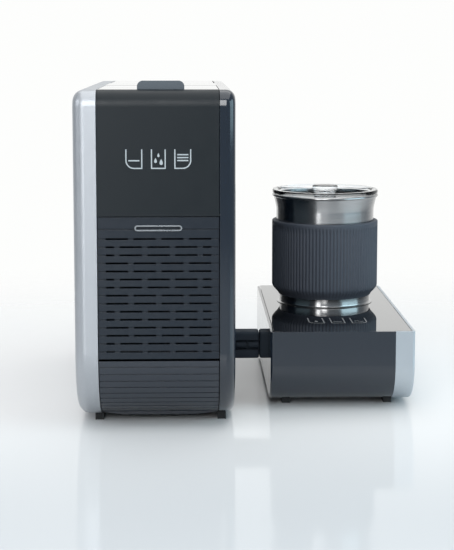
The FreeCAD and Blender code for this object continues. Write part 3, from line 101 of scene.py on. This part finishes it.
# Jug: steel wall
STEEL_T = 0.0012
LIP_R = 0.0016
LIP_ARC = (-60, 170)
LIP_STEPS = 10
RIM_OUT = 0.0044
FLARE_H = 0.0165
FLARE_BEND = 1.35
FLARE_STEPS = 14
FOOT_IN = 0.0038
FOOT_OUT = 0.0030
FOOT_FLARE_H = 0.0002
FOOT_REACH = 0.0002
FOOT_EDGE = 0.0002
FOOT_RIM_UP = 0.0003
FOOT_BLEND_H = 0.0042
FOOT_BEND = 3
NECK_H = 0.0100
SHOULDER_H = 0.0140
FLOOR_RISE = 0.0045
PIN_R = 0.0020
PIN_H = 0.0120

# Jug: ribbed sleeve
RIB_COUNT = 96
RIB_STEPS = 8
RIB_DEPTH = 0.0009
RIB_FULLNESS = 0.7      # below 1 makes the ribs wider than the grooves
RIB_MARGIN = 0.0002
BAND_H = 0.0048
BAND_BLEND = 0.0010
SLEEVE_T = 0.0042
SLEEVE_ROWS = 14
SLEEVE_CHAMFER = 0.0100
SLEEVE_EDGE_R = 0.0012
CHAMFER_STEPS = 6
CHAMFER_BEND = 0.8

# Jug: clear lid and knob
LID_EDGE_R = 0.0009
LID_RING_H = 0.0040
LID_RING_W = 0.0045
LID_PLATE_T = 0.0022
SEAL_OUT = 0.0010
SEAL_BITE = 0.0008
KNOB_EDGE_R = 0.0016
KNOB_CAP_H = 0.0050
KNOB_WAIST_IN = 0.0014
KNOB_SKIRT_OUT = 0.0012
KNOB_SKIRT_H = 0.0014
KNOB_BAR_L = 0.0100
KNOB_BAR_W = 0.0020

# Studio
BACKDROP = (0.985, 0.99, 0.98)
STUDIO_FRONT = (0.30, 0.335, 0.37)
STUDIO_FRONT_END = 0.25
STUDIO_BACK_START = 1.0
STUDIO_LIGHT = (0.93, 0.96, 1.0)
STUDIO_LIGHT_LOW = 0.10
STUDIO_LIGHT_HIGH = 0.70
FLOOR_HALF = 12.0
FLOOR_CENTRE_Y = -0.35
# Painted shade on the floor: its colour is darker in front and paler behind, changing between these
# two depths in Y.
FLOOR_SHADE_START = -0.1
FLOOR_SHADE_END = 0.3
FLOOR_SHADED_FRONT = (0.555, 0.58, 0.60)
FLOOR_BACK = (0.775, 0.785, 0.79)
FLOOR_FADE_START = 0.45
FLOOR_FADE_END = 1.2
FLOOR_ROUGH = (0.06, 0.09)
FLOOR_GRAIN = 6
FLOOR_RELIEF = 0.0000005
FLOOR_IOR = 1.17

# Lamps: size is width and height, power is in watts
LAMPS = (
    dict(name="front_strip", place=(-0.13, -2.3, 1.32), aim=(-0.13, -0.17, 0.29),
         size=(0.5, 1.4), power=15),
    dict(name="overhead", place=(0.1, -0.1, 2.2), aim=(0.1, -0.1, 0.0),
         size=(2.4, 3.2), power=36, tint=(1.0, 0.99, 0.97)),
    dict(name="left_side", place=(-2.0, -0.9, 1.0), aim=(0.0, 0.0, 0.15),
         size=(1.2, 1.4), power=11, tint=(0.97, 0.98, 1.0)),
    dict(name="jug_strip", place=(-0.51, -1.523, 0.5), aim=(0.085, 0.07, 0.13),
         size=(0.3, 1.2), power=5.7),
    dict(name="right_window", place=(1.9, -0.8, 0.75), aim=(0.085, 0.0, 0.1),
         size=(1.9, 1.3), power=20, tint=(0.60, 0.88, 1.0)),
)

# Camera fitted to the photograph's frame
PHOTO_H = 550
FOCAL_PX = 1456.6
CENTRE_PX_Y = 220.0
SENSOR_MM = 36.0
CAMERA_PLACE = (-0.05577, -1.41895, 0.33572)
CAMERA_PITCH = math.radians(6.75)
CAMERA_YAW = math.radians(1.55)

# Noise in the materials
NOISE_DETAIL = 3.0
NOISE_LOW = 0.3
NOISE_HIGH = 0.7
BROAD_RATIO = 25
BEVEL_SAMPLES = 4


def grey(level, tint=0.0):
    """A grey that leans to blue by tint."""
    return level * (1 - tint), level, level * (1 + tint)


# Each finish: two colours and a range of roughness that noise mixes, the noise's scale, the depth
# of its relief, the radius that sharp edges seem to have, and plain values of the shader's sockets.
FINISHES = {
    "silver_paint": dict(
        dark=(0.385, 0.405, 0.43), light=(0.495, 0.515, 0.545), rough=(0.36, 0.44),
        grain=2600, depth=0.00003, edge=0.0006, sockets={"Metallic": 0.75}),
    "cool_silver": dict(
        dark=(0.44, 0.485, 0.525), light=(0.56, 0.61, 0.65), rough=(0.36, 0.44),
        grain=2600, depth=0.00003, edge=0.0006, sockets={"Metallic": 0.75}),
    "gloss_dark": dict(
        dark=(0.006, 0.012, 0.022), light=(0.010, 0.017, 0.028), rough=(0.10, 0.14),
        grain=1800, depth=0.000003, edge=0.0006,
        sockets={"Coat Weight": 0.55, "Coat Roughness": 0.08}),
    "mirror_dark": dict(
        dark=(0.003, 0.004, 0.006), light=(0.005, 0.006, 0.008), rough=(0.03, 0.06),
        grain=900, depth=0.000001, edge=0.0004,
        sockets={"Coat Weight": 0.8, "Coat Roughness": 0.02}),
    "front_dark": dict(
        dark=(0.002, 0.006, 0.009), light=(0.005, 0.010, 0.014), rough=(0.36, 0.44),
        grain=2200, depth=0.000006, edge=0.0005, sockets={"IOR": 1.38}),
    "slat_plastic": dict(
        dark=(0.007, 0.012, 0.020), light=(0.012, 0.019, 0.029), rough=(0.30, 0.40),
        grain=3200, depth=0.00002, edge=0.0006, sockets={"IOR": 1.4}),
    # Painted light: a lighter, bluer copy of the slat plastic for the drawer front, where floor
    # light brightens the slats.
    "drawer_plastic_painted_light": dict(
        dark=(0.010, 0.016, 0.027), light=(0.016, 0.023, 0.036), rough=(0.30, 0.40),
        grain=3200, depth=0.00002, edge=0.0006,
        sockets={"Coat Weight": 0.35, "Coat Roughness": 0.25}),
    "tab_plastic": dict(
        dark=(0.075, 0.095, 0.115), light=(0.095, 0.115, 0.135), rough=(0.40, 0.50),
        grain=2800, depth=0.00001, edge=0.0004),
    "dock_plastic": dict(
        dark=(0.022, 0.030, 0.041), light=(0.030, 0.039, 0.051), rough=(0.55, 0.68),
        grain=2800, depth=0.00003, edge=0.0004, sockets={"IOR": 1.2}),
    "frame_plastic": dict(
        dark=grey(0.012), light=grey(0.022), rough=(0.45, 0.6),
        grain=2600, depth=0.00003, edge=0.0004),
    "pull_trim": dict(
        dark=grey(0.30, 0.06), light=grey(0.38, 0.06), rough=(0.25, 0.35),
        grain=2400, depth=0.00001, edge=0.0003, sockets={"Metallic": 0.7}),
    "black_rubber": dict(
        dark=grey(0.008, 0.1), light=grey(0.016, 0.1), rough=(0.55, 0.75),
        grain=2200, depth=0.00004, edge=0.0003),
    "sleeve_rubber": dict(
        dark=(0.044, 0.053, 0.072), light=(0.060, 0.071, 0.092), rough=(0.55, 0.68),
        grain=3000, depth=0.00002),
    "turned_steel": dict(
        dark=grey(0.35), light=grey(0.43), rough=(0.20, 0.26),
        grain=60, depth=0.0000008, stretch=(1, 1, 60),
        sockets={"Metallic": 1.0, "Anisotropic": 0.7, "Anisotropic Rotation": 0.25}),
    "bright_steel": dict(
        dark=grey(0.45), light=grey(0.55), rough=(0.2, 0.32),
        grain=1500, depth=0.00001, edge=0.0002, sockets={"Metallic": 1.0}),
    "cast_alloy": dict(
        dark=grey(0.42), light=grey(0.55), rough=(0.4, 0.55),
        grain=1400, depth=0.00005, edge=0.0004, sockets={"Metallic": 1.0}),
    "plated_magnet": dict(
        dark=grey(0.24), light=grey(0.34), rough=(0.15, 0.3),
        grain=1200, depth=0.00001, edge=0.0003, sockets={"Metallic": 1.0}),
    "wound_copper": dict(
        dark=(0.42, 0.17, 0.07), light=(0.66, 0.31, 0.15), rough=(0.25, 0.4),
        grain=30, depth=0.0002, stretch=(1, 1, 30), sockets={"Metallic": 1.0}),
    "board_green": dict(
        dark=(0.006, 0.06, 0.022), light=(0.02, 0.13, 0.05), rough=(0.3, 0.5),
        grain=420, depth=0.00004, edge=0.0002),
    "clear_plastic": dict(
        dark=(0.95, 0.97, 0.98), light=(0.98, 0.99, 1.0), rough=(0.01, 0.03),
        grain=800, depth=0.000001, sockets={"Transmission Weight": 1.0, "IOR": 1.3}),
    "tank_clear": dict(
        dark=(0.30, 0.36, 0.42), light=(0.36, 0.42, 0.48), rough=(0.08, 0.14),
        grain=800, depth=0.000004, edge=0.0005,
        sockets={"Transmission Weight": 0.9, "IOR": 1.45}),
    "hose_clear": dict(
        dark=(0.62, 0.62, 0.58), light=(0.72, 0.72, 0.68), rough=(0.35, 0.5),
        grain=1800, depth=0.00002),
    "printed_mark": dict(
        dark=(0.40, 0.45, 0.48), light=(0.48, 0.53, 0.56), rough=(0.45, 0.6),
        grain=2600, depth=0.000005),
    "pad_print": dict(
        dark=(0.14, 0.145, 0.15), light=(0.18, 0.185, 0.19), rough=(0.45, 0.6),
        grain=2600, depth=0.000005),
    "knob_print": dict(
        dark=grey(0.006), light=grey(0.012), rough=(0.4, 0.5),
        grain=2600, depth=0.000005),
}

# The finish of a material slot, where it isn't the slot's own name
SLOT_FINISHES = {
    "steel": "turned_steel",
    "alloy": "cast_alloy",
    "copper": "wound_copper",
    "magnet": "plated_magnet",
}

# Solids that look unlike the rest of their slot
NODE_FINISHES = {
    "upper_front_panel": "front_dark",
    # The drawer front takes the slat plastic painted lighter, a painted light.
    "drawer_front": "drawer_plastic_painted_light",
    "lid_tab": "tab_plastic",
    "door_pins": "frame_plastic",
    "frother_side_panel": "cool_silver",
    "dock_arm": "dock_plastic",
    "dock_plug": "dock_plastic",
    "top_lid": "mirror_dark",
    "rear_top_cover": "mirror_dark",
    "tank_lid": "mirror_dark",
    "frother_top_plate": "mirror_dark",
}


# Material building blocks
def noise(tree, scale, stretch):
    """Noise fixed to the piece; stretch draws it out along an axis."""
    place = tree.nodes.new("ShaderNodeTexCoord")
    mapping = tree.nodes.new("ShaderNodeMapping")
    mapping.inputs["Scale"].default_value = stretch
    texture = tree.nodes.new("ShaderNodeTexNoise")
    texture.inputs["Scale"].default_value = scale
    texture.inputs["Detail"].default_value = NOISE_DETAIL
    tree.links.new(place.outputs["Object"], mapping.inputs["Vector"])
    tree.links.new(mapping.outputs["Vector"], texture.inputs["Vector"])
    return texture.outputs["Fac"]


def colours(tree, fac, dark, light, low=NOISE_LOW, high=NOISE_HIGH):
    """Colour that goes from dark to light while fac goes from low to high."""
    ramp = tree.nodes.new("ShaderNodeValToRGB")
    first, last = ramp.color_ramp.elements
    first.position, last.position = low, high
    first.color = (*dark, 1)
    last.color = (*light, 1)
    tree.links.new(fac, ramp.inputs["Fac"])
    return ramp.outputs["Color"]


def spread(tree, value, start, end, low=0.0, high=1.0, soft=False):
    """Number that goes from low to high while value goes from start to end."""
    mapped = tree.nodes.new("ShaderNodeMapRange")
    if soft:
        mapped.interpolation_type = "SMOOTHSTEP"
    mapped.inputs["From Min"].default_value = start
    mapped.inputs["From Max"].default_value = end
    mapped.inputs["To Min"].default_value = low
    mapped.inputs["To Max"].default_value = high
    tree.links.new(value, mapped.inputs["Value"])
    return mapped.outputs["Result"]


def relief(tree, shader, fac, depth, edge):
    """Fine surface relief of the given depth; edge rounds the look of sharp edges."""
    bump = tree.nodes.new("ShaderNodeBump")
    bump.inputs["Strength"].default_value = 1.0
    bump.inputs["Distance"].default_value = depth
    tree.links.new(fac, bump.inputs["Height"])
    if edge > 0:
        bevel = tree.nodes.new("ShaderNodeBevel")
        bevel.samples = BEVEL_SAMPLES
        bevel.inputs["Radius"].default_value = edge
        tree.links.new(bevel.outputs["Normal"], bump.inputs["Normal"])
    tree.links.new(bump.outputs["Normal"], shader.inputs["Normal"])


def uncoloured(name, rough, grain, depth, edge=0.0, stretch=(1, 1, 1), sockets=None):
    """A material whose roughness and relief follow two noises. Returns it with its fine noise."""
    material = bpy.data.materials.new(name)
    material.use_nodes = True
    tree = material.node_tree
    shader = tree.nodes["Principled BSDF"]
    fine = noise(tree, grain, stretch)
    broad = noise(tree, grain / BROAD_RATIO, stretch)
    roughness = spread(tree, broad, NOISE_LOW, NOISE_HIGH, *rough)
    tree.links.new(roughness, shader.inputs["Roughness"])
    relief(tree, shader, fine, depth, edge)
    for socket, value in (sockets or {}).items():
        shader.inputs[socket].default_value = value
    return material, fine


def surface(name, dark, light, **texture):
    """A material whose colour follows its fine noise."""
    material, fine = uncoloured(name, **texture)
    tree = material.node_tree
    shader = tree.nodes["Principled BSDF"]
    tree.links.new(colours(tree, fine, dark, light), shader.inputs["Base Color"])
    return material


MATERIALS = {name: surface(name, **look) for name, look in FINISHES.items()}


def dress_solids():
    for part in frame["record"]["subparts"]:
        slot = part["material_slot"]
        finish = NODE_FINISHES.get(part["node"], SLOT_FINISHES.get(slot, slot))
        node = frame["nodes"][part["node"]]
        node.data.materials.clear()
        node.data.materials.append(MATERIALS[finish])


# Mesh building blocks
def mesh_piece(name, points, faces, finish, place=(0, 0, 0), smooth=False):
    mesh = bpy.data.meshes.new(name)
    mesh.from_pydata(points, [], faces)
    mesh.materials.append(finish)
    mesh.validate()
    if smooth:
        mesh.shade_smooth()
        mesh.set_sharp_from_angle(angle=SMOOTH_ANGLE)
    piece = bpy.data.objects.new(name, mesh)
    piece.location = place
    bpy.context.scene.collection.objects.link(piece)
    return piece


def lathe(name, profile, place, finish, segments=ROUND_SEGMENTS, shape=None):
    """Turned piece about the upright axis at place. The profile is (radius, height), from axis to
    axis or closed; shape may change a radius by turn and height."""
    points = []
    faces = []
    count = len(profile)
    for i in range(segments):
        turn = 2 * math.pi * i / segments
        for radius, height in profile:
            reach = shape(radius, height, turn) if shape else radius
            points.append((reach * math.cos(turn), reach * math.sin(turn), height))
    for i in range(segments):
        here = i * count
        after = (i + 1) % segments * count
        for j in range(count):
            k = (j + 1) % count
            if profile[j][0] == 0 and profile[k][0] == 0:
                continue
            if profile[j][0] == 0:
                faces.append((j, after + k, here + k))
            elif profile[k][0] == 0:
                faces.append((here + j, after + j, k))
            else:
                faces.append((here + j, after + j, after + k, here + k))
    used = sorted({n for face in faces for n in face})
    index = {n: i for i, n in enumerate(used)}
    points = [points[n] for n in used]
    faces = [tuple(index[n] for n in face) for face in faces]
    return mesh_piece(name, points, faces, finish, place, smooth=True)


def round_corner(centre, radius, start, end, steps=EDGE_STEPS):
    """Points of an arc in a profile, from one angle to another, in degrees."""
    angles = [math.radians(start + (end - start) * i / steps) for i in range(steps + 1)]
    return [(centre[0] + radius * math.cos(a), centre[1] + radius * math.sin(a)) for a in angles]


def ease(value):
    """Soft step from 0 to 1."""
    value = min(max(value, 0), 1)
    return value * value * (3 - 2 * value)


# Jug pieces
def jug_axis():
    low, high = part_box("jug_shell")
    return (low.x + high.x) / 2, (low.y + high.y) / 2


def jug_wall():
    """Steel wall with a smooth flare to a rolled lip; its inside, floor and pin included."""
    low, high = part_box("jug_shell")
    height = high.z - low.z
    rim_r = (high.x - low.x) / 2
    wall_r = rim_r - RIM_OUT
    foot_r = wall_r - FOOT_IN
    flare_r = foot_r + FOOT_OUT
    flare_start = height - FLARE_H
    reach = rim_r - LIP_R - wall_r
    rise = FLARE_H - 2 * LIP_R
    shares = [i / FLARE_STEPS for i in range(FLARE_STEPS + 1)]
    outside = [(wall_r + reach * t ** FLARE_BEND, flare_start + rise * t) for t in shares]
    lip = round_corner((rim_r - LIP_R, height - LIP_R), LIP_R, *LIP_ARC, LIP_STEPS)
    inside = [(r - STEEL_T, z) for r, z in reversed(outside)]
    profile = [(0, FLOOR_RISE - STEEL_T), (foot_r - 2 * STEEL_T, FLOOR_RISE - STEEL_T)]
    profile += [(foot_r - STEEL_T, FOOT_RIM_UP), (flare_r - FOOT_EDGE, -FOOT_REACH), (flare_r, 0)]
    for t in shares:
        blend = FOOT_FLARE_H + (FOOT_BLEND_H - FOOT_FLARE_H) * t ** FOOT_BEND
        profile.append((foot_r + FOOT_OUT * (1 - t) ** FOOT_BEND, blend))
    profile += [(foot_r, NECK_H), (wall_r, SHOULDER_H)] + outside + lip + inside
    profile += [(wall_r - STEEL_T, SHOULDER_H + STEEL_T), (foot_r - STEEL_T, NECK_H + STEEL_T)]
    profile += [(foot_r - STEEL_T, FLOOR_RISE), (PIN_R, FLOOR_RISE)]
    profile += [(PIN_R, FLOOR_RISE + PIN_H), (0, FLOOR_RISE + PIN_H)]
    piece = lathe("jug_wall", profile, (*jug_axis(), low.z), MATERIALS["turned_steel"])
    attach(piece, "jug")
    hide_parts("jug_shell")


def jug_grip():
    """Soft sleeve with upright ribs below a plain band."""
    low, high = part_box("jug_sleeve")
    height = high.z - low.z
    above_jug = low.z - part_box("jug_shell")[0].z
    outer = (high.x - low.x) / 2
    inner = outer - SLEEVE_T
    low_inner = inner - FOOT_IN
    low_outer = low_inner + SLEEVE_EDGE_R
    rib_top = height - BAND_H

    def ribbed(radius, z, turn):
        if radius < low_outer - RIB_MARGIN:
            return radius
        wave = 0.5 - 0.5 * math.cos(turn * RIB_COUNT)
        fade = ease((rib_top - z) / BAND_BLEND) * ease(z / SLEEVE_CHAMFER)
        return radius - RIB_DEPTH * fade * (1 - wave ** RIB_FULLNESS)

    profile = [(low_inner, 0)]
    for i in range(CHAMFER_STEPS):
        t = i / CHAMFER_STEPS
        swell = ease(t) ** CHAMFER_BEND
        profile.append((low_outer + (outer - low_outer) * swell, SLEEVE_CHAMFER * t))
    straight = rib_top - BAND_BLEND - SLEEVE_CHAMFER
    for i in range(SLEEVE_ROWS + 1):
        profile.append((outer, SLEEVE_CHAMFER + straight * i / SLEEVE_ROWS))
    profile.append((outer, rib_top))
    edge_centre = (outer - SLEEVE_EDGE_R, height - SLEEVE_EDGE_R)
    profile += round_corner(edge_centre, SLEEVE_EDGE_R, 0, 90)
    profile += [(inner, height), (inner, SHOULDER_H - above_jug), (low_inner, NECK_H - above_jug)]
    piece = lathe("jug_grip", profile, (*jug_axis(), low.z), MATERIALS["sleeve_rubber"],
                  segments=RIB_COUNT * RIB_STEPS, shape=ribbed)
    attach(piece, "jug")
    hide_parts("jug_sleeve")


def clear_cover():
    """Clear lid with a rounded ring on the rim and a plate sunk into the mouth."""
    low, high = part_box("jug_lid")
    seal_low, seal_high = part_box("lid_seal")
    height = high.z - low.z
    outer = (high.x - low.x) / 2
    neck = (seal_high.x - seal_low.x) / 2 - SEAL_OUT
    groove = neck - SEAL_BITE
    groove_top = SEAL_BITE + seal_high.z - seal_low.z
    well = neck - LID_PLATE_T
    ring_z = height - LID_RING_H
    edge_r = outer - LID_EDGE_R
    profile = [(0, 0), (neck, 0), (neck, SEAL_BITE), (groove, SEAL_BITE), (groove, groove_top)]
    profile += [(neck, groove_top), (neck, ring_z)]
    profile += round_corner((edge_r, ring_z + LID_EDGE_R), LID_EDGE_R, -90, 0)
    profile += round_corner((edge_r, height - LID_EDGE_R), LID_EDGE_R, 0, 90)
    profile += [(outer - LID_RING_W, height), (well, height - LID_PLATE_T)]
    profile += [(well, LID_PLATE_T), (0, LID_PLATE_T)]
    piece = lathe("clear_cover", profile, (*jug_axis(), low.z), MATERIALS["clear_plastic"])
    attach(piece, "jug_cover")
    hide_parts("jug_lid")


def cover_knob():
    """Clear knob: a waist that widens to a skirt below and to a round cap above."""
    low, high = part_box("lid_knob")
    height = high.z - low.z
    outer = (high.x - low.x) / 2
    waist = outer - KNOB_WAIST_IN
    cap_z = height - KNOB_CAP_H
    profile = [(0, 0), (waist + KNOB_SKIRT_OUT, 0), (waist, KNOB_SKIRT_H), (waist, cap_z)]
    profile += round_corner((outer - LID_EDGE_R, cap_z + LID_EDGE_R), LID_EDGE_R, -90, 0)
    profile += round_corner((outer - KNOB_EDGE_R, height - KNOB_EDGE_R), KNOB_EDGE_R, 0, 90)
    profile += [(0, height)]
    piece = lathe("cover_knob", profile, (*jug_axis(), low.z), MATERIALS["clear_plastic"])
    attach(piece, "jug_cover")
    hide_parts("lid_knob")


# Printed marks
def stroke(path, width):
    """Outline of a line of even width along a path of (u, v) points."""
    left, right = [], []
    for i, point in enumerate(path):
        before = Vector(path[max(i - 1, 0)])
        after = Vector(path[min(i + 1, len(path) - 1)])
        here = Vector(point)
        into = (here - before).normalized() if i > 0 else (after - here).normalized()
        out = (after - here).normalized() if i < len(path) - 1 else into
        middle = (into + out).normalized()
        side = Vector((-middle.y, middle.x))
        reach = width / 2 / max(side.dot(Vector((-into.y, into.x))), MITRE_LIMIT)
        left.append(here + side * reach)
        right.append(here - side * reach)
    return right + left[::-1]


def bar(u, v, length, width):
    """Outline of a level line about its middle."""
    return stroke([(u - length / 2, v), (u + length / 2, v)], width)


def cup_path(centre, width, height, radius, round_left, round_right):
    """Open-topped cup: down the left side, along the bottom and up the right side."""
    left, right = centre - width / 2, centre + width / 2
    path = [(left, height)]
    if round_left:
        path += round_corner((left + radius, radius), radius, 180, 270, CORNER_STEPS)
    else:
        path += [(left, 0)]
    if round_right:
        path += round_corner((right - radius, radius), radius, 270, 360, CORNER_STEPS)
    else:
        path += [(right, 0)]
    return path + [(right, height)]


def drop_outline(u, v, radius):
    """Drop with a round lower end and a pointed upper one."""
    outline = []
    for i in range(DROP_STEPS):
        turn = 2 * math.pi * i / DROP_STEPS
        narrow = ((1 - math.cos(turn)) / 2) ** DROP_TAPER
        across = radius * math.sin(turn) * narrow
        outline.append((u - across, v + DROP_LENGTH * radius * math.cos(turn)))
    return outline


def raised(outlines, lay, name, finish, body):
    """Thin raised print: each outline becomes a plate; lay turns (u, v, lift) into a place. The
    points of an outline go up one side of it and back down the other, in pairs."""
    points = []
    faces = []
    for outline in outlines:
        first = len(points)
        count = len(outline)
        points += [lay(p[0], p[1], 0.0) for p in outline]
        points += [lay(p[0], p[1], PRINT_RAISE) for p in outline]
        for i in range(count // 2 - 1):
            quad = (i, i + 1, count - 2 - i, count - 1 - i)
            faces.append(tuple(first + count + n for n in quad))
            faces.append(tuple(first + n for n in reversed(quad)))
        for i in range(count):
            j = (i + 1) % count
            faces.append((first + i, first + j, first + count + j, first + count + i))
    piece = mesh_piece(name, points, faces, finish)
    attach(piece, body)
    return piece


def machine_marks():
    """Three cups on the upper front: with one line, with drops and with three lines."""
    low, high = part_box("upper_front_panel")
    middle = (low.x + high.x) / 2 + MARK_SHIFT
    bottom = high.z - MARK_TOP_DROP - MARK_HEIGHT

    def lay(u, v, lift):
        return middle + u, low.y + PRINT_SINK - lift, bottom + v

    def cup(centre, width, round_left, round_right):
        path = cup_path(centre, width, MARK_HEIGHT, MARK_CORNER_R, round_left, round_right)
        return stroke(path, MARK_STROKE)

    def line(u, v):
        return bar(u, v, MARK_LINE_W, MARK_LINE_T)

    left = [cup(-MARK_PITCH, MARK_WIDE, True, False), line(-MARK_PITCH, MARK_ONE_LINE)]
    centre = [cup(0, MARK_NARROW, False, False)] + [drop_outline(*drop) for drop in MARK_DROPS]
    right = [cup(MARK_PITCH, MARK_WIDE, False, True)]
    for i in range(MARK_LINE_COUNT):
        right.append(line(MARK_PITCH, MARK_LOW_LINE + i * MARK_LINE_STEP))
    raised(left, lay, "cup_mark_left", MATERIALS["printed_mark"], "machine")
    raised(centre, lay, "cup_mark_middle", MATERIALS["printed_mark"], "machine")
    raised(right, lay, "cup_mark_right", MATERIALS["printed_mark"], "machine")


def frother_marks():
    """Three cups on the top plate: with a drop, with a line and with a wave."""
    low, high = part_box("frother_top_plate")
    middle = (low.x + high.x) / 2

    def lay(u, v, lift):
        return middle + u, low.y + PAD_FRONT + v, high.z - PRINT_SINK + lift

    def cup(centre, width, round_left, round_right):
        path = cup_path(centre, width, PAD_LENGTH, PAD_CORNER_R, round_left, round_right)
        return stroke(path, PAD_STROKE)

    wave = []
    for i in range(PAD_WAVE_STEPS + 1):
        t = i / PAD_WAVE_STEPS
        up = PAD_WAVE_UP + PAD_WAVE_H * math.sin(2 * math.pi * t)
        wave.append((PAD_PITCH + PAD_LINE_W * (t - 0.5), up))
    left = [cup(-PAD_PITCH, PAD_WIDE, True, False)]
    left.append(drop_outline(-PAD_PITCH, PAD_DROP_UP, PAD_DROP_R))
    centre = [cup(0, PAD_NARROW, False, False), bar(0, PAD_LINE_UP, PAD_LINE_W, PAD_STROKE)]
    right = [cup(PAD_PITCH, PAD_WIDE, False, True), stroke(wave, PAD_STROKE)]
    raised(left, lay, "pad_mark_left", MATERIALS["pad_print"], "frother")
    raised(centre, lay, "pad_mark_middle", MATERIALS["pad_print"], "frother")
    raised(right, lay, "pad_mark_right", MATERIALS["pad_print"], "frother")


def knob_mark():
    """Dark bar set flush into the knob's top."""
    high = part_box("lid_knob")[1]
    x, y = jug_axis()

    def lay(u, v, lift):
        return x + u, y + v, high.z - PRINT_RAISE + lift

    outline = bar(0, 0, KNOB_BAR_L, KNOB_BAR_W)
    piece = raised([outline], lay, "knob_bar", MATERIALS["knob_print"], "jug_cover")


# Studio: floor, light and camera
def pale_world():
    """Pale surroundings, seen by the camera, by gloss and through clear plastic. Gloss and clear
    plastic see the dimmer front of the studio and its bright back. As light on matt surfaces the
    surroundings are softer, and weakest near the floor."""
    world = bpy.data.worlds.new("studio")
    bpy.context.scene.world = world
    world.use_nodes = True
    tree = world.node_tree
    nodes = tree.nodes
    place = nodes.new("ShaderNodeTexCoord")
    split = nodes.new("ShaderNodeSeparateXYZ")
    tree.links.new(place.outputs["Generated"], split.inputs["Vector"])

    def background(colour):
        shader = nodes.new("ShaderNodeBackground")
        shader.inputs["Color"].default_value = (*colour, 1)
        shader.inputs["Strength"].default_value = 1.0
        return shader

    def choose(ray, otherwise, shader):
        mix = nodes.new("ShaderNodeMixShader")
        tree.links.new(path.outputs[ray], mix.inputs["Fac"])
        tree.links.new(otherwise, mix.inputs[1])
        tree.links.new(shader.outputs["Background"], mix.inputs[2])
        return mix.outputs["Shader"]

    path = nodes.new("ShaderNodeLightPath")
    light = background(STUDIO_LIGHT)
    height = spread(tree, split.outputs["Z"], 0.0, 1.0, STUDIO_LIGHT_LOW, STUDIO_LIGHT_HIGH)
    tree.links.new(height, light.inputs["Strength"])
    gloss = background(BACKDROP)
    depth = spread(tree, split.outputs["Y"], STUDIO_FRONT_END, STUDIO_BACK_START, soft=True)
    room = colours(tree, depth, STUDIO_FRONT, BACKDROP, 0.0, 1.0)
    tree.links.new(room, gloss.inputs["Color"])
    shader = choose("Is Glossy Ray", light.outputs["Background"], gloss)
    shader = choose("Is Transmission Ray", shader, gloss)
    shader = choose("Is Camera Ray", shader, background(BACKDROP))
    tree.links.new(shader, nodes["World Output"].inputs["Surface"])


def pale_floor_painted_shade():
    """Pale gloss floor with painted shade, its colour darker in front, that fades into the backdrop
    away from the object.
    """
    finish = uncoloured("pale_floor_painted_shade", FLOOR_ROUGH, FLOOR_GRAIN, FLOOR_RELIEF,
                        sockets={"IOR": FLOOR_IOR})[0]
    tree = finish.node_tree
    nodes = tree.nodes
    shader = nodes["Principled BSDF"]
    place = nodes.new("ShaderNodeTexCoord")
    split = nodes.new("ShaderNodeSeparateXYZ")
    tree.links.new(place.outputs["Object"], split.inputs["Vector"])
    # Painted shade: the floor's colour darkens towards the front.
    depth = spread(tree, split.outputs["Y"], FLOOR_SHADE_START, FLOOR_SHADE_END, soft=True)
    shade = colours(tree, depth, FLOOR_SHADED_FRONT, FLOOR_BACK, 0.0, 1.0)
    tree.links.new(shade, shader.inputs["Base Color"])
    reach = nodes.new("ShaderNodeVectorMath")
    reach.operation = "LENGTH"
    tree.links.new(place.outputs["Object"], reach.inputs[0])
    fade = spread(tree, reach.outputs["Value"], FLOOR_FADE_START, FLOOR_FADE_END, soft=True)
    through = nodes.new("ShaderNodeBsdfTransparent")
    mix = nodes.new("ShaderNodeMixShader")
    tree.links.new(fade, mix.inputs["Fac"])
    tree.links.new(shader.outputs["BSDF"], mix.inputs[1])
    tree.links.new(through.outputs["BSDF"], mix.inputs[2])
    tree.links.new(mix.outputs["Shader"], nodes["Material Output"].inputs["Surface"])
    half = FLOOR_HALF
    corners = [(-half, -half, 0), (half, -half, 0), (half, half, 0), (-half, half, 0)]
    floor = mesh_piece("floor", corners, [(0, 1, 2, 3)], finish, (0, FLOOR_CENTRE_Y, 0))


def area_light(name, place, aim, size, power, tint=(1, 1, 1)):
    data = bpy.data.lights.new(name, "AREA")
    data.shape = "RECTANGLE"
    data.size, data.size_y = size
    data.energy = power
    data.color = tint
    lamp = bpy.data.objects.new(name, data)
    lamp.location = place
    lamp.rotation_euler = (Vector(aim) - Vector(place)).to_track_quat("-Z", "Y").to_euler()
    lamp.visible_camera = False
    bpy.context.scene.collection.objects.link(lamp)


def photo_camera():
    data = bpy.data.cameras.new("camera")
    data.sensor_width = SENSOR_MM
    data.lens = FOCAL_PX * SENSOR_MM / PHOTO_H
    data.shift_y = (CENTRE_PX_Y - PHOTO_H / 2) / PHOTO_H
    camera = bpy.data.objects.new("camera", data)
    camera.location = CAMERA_PLACE
    camera.rotation_euler = (math.pi / 2 - CAMERA_PITCH, 0, -CAMERA_YAW)
    bpy.context.scene.collection.objects.link(camera)
    bpy.context.scene.camera = camera


dress_solids()
jug_wall()
jug_grip()
clear_cover()
cover_knob()
machine_marks()
frother_marks()
knob_mark()
pale_world()
pale_floor_painted_shade()
for settings in LAMPS:
    area_light(**settings)
photo_camera()
bpy.context.scene.view_settings.view_transform = "Standard"
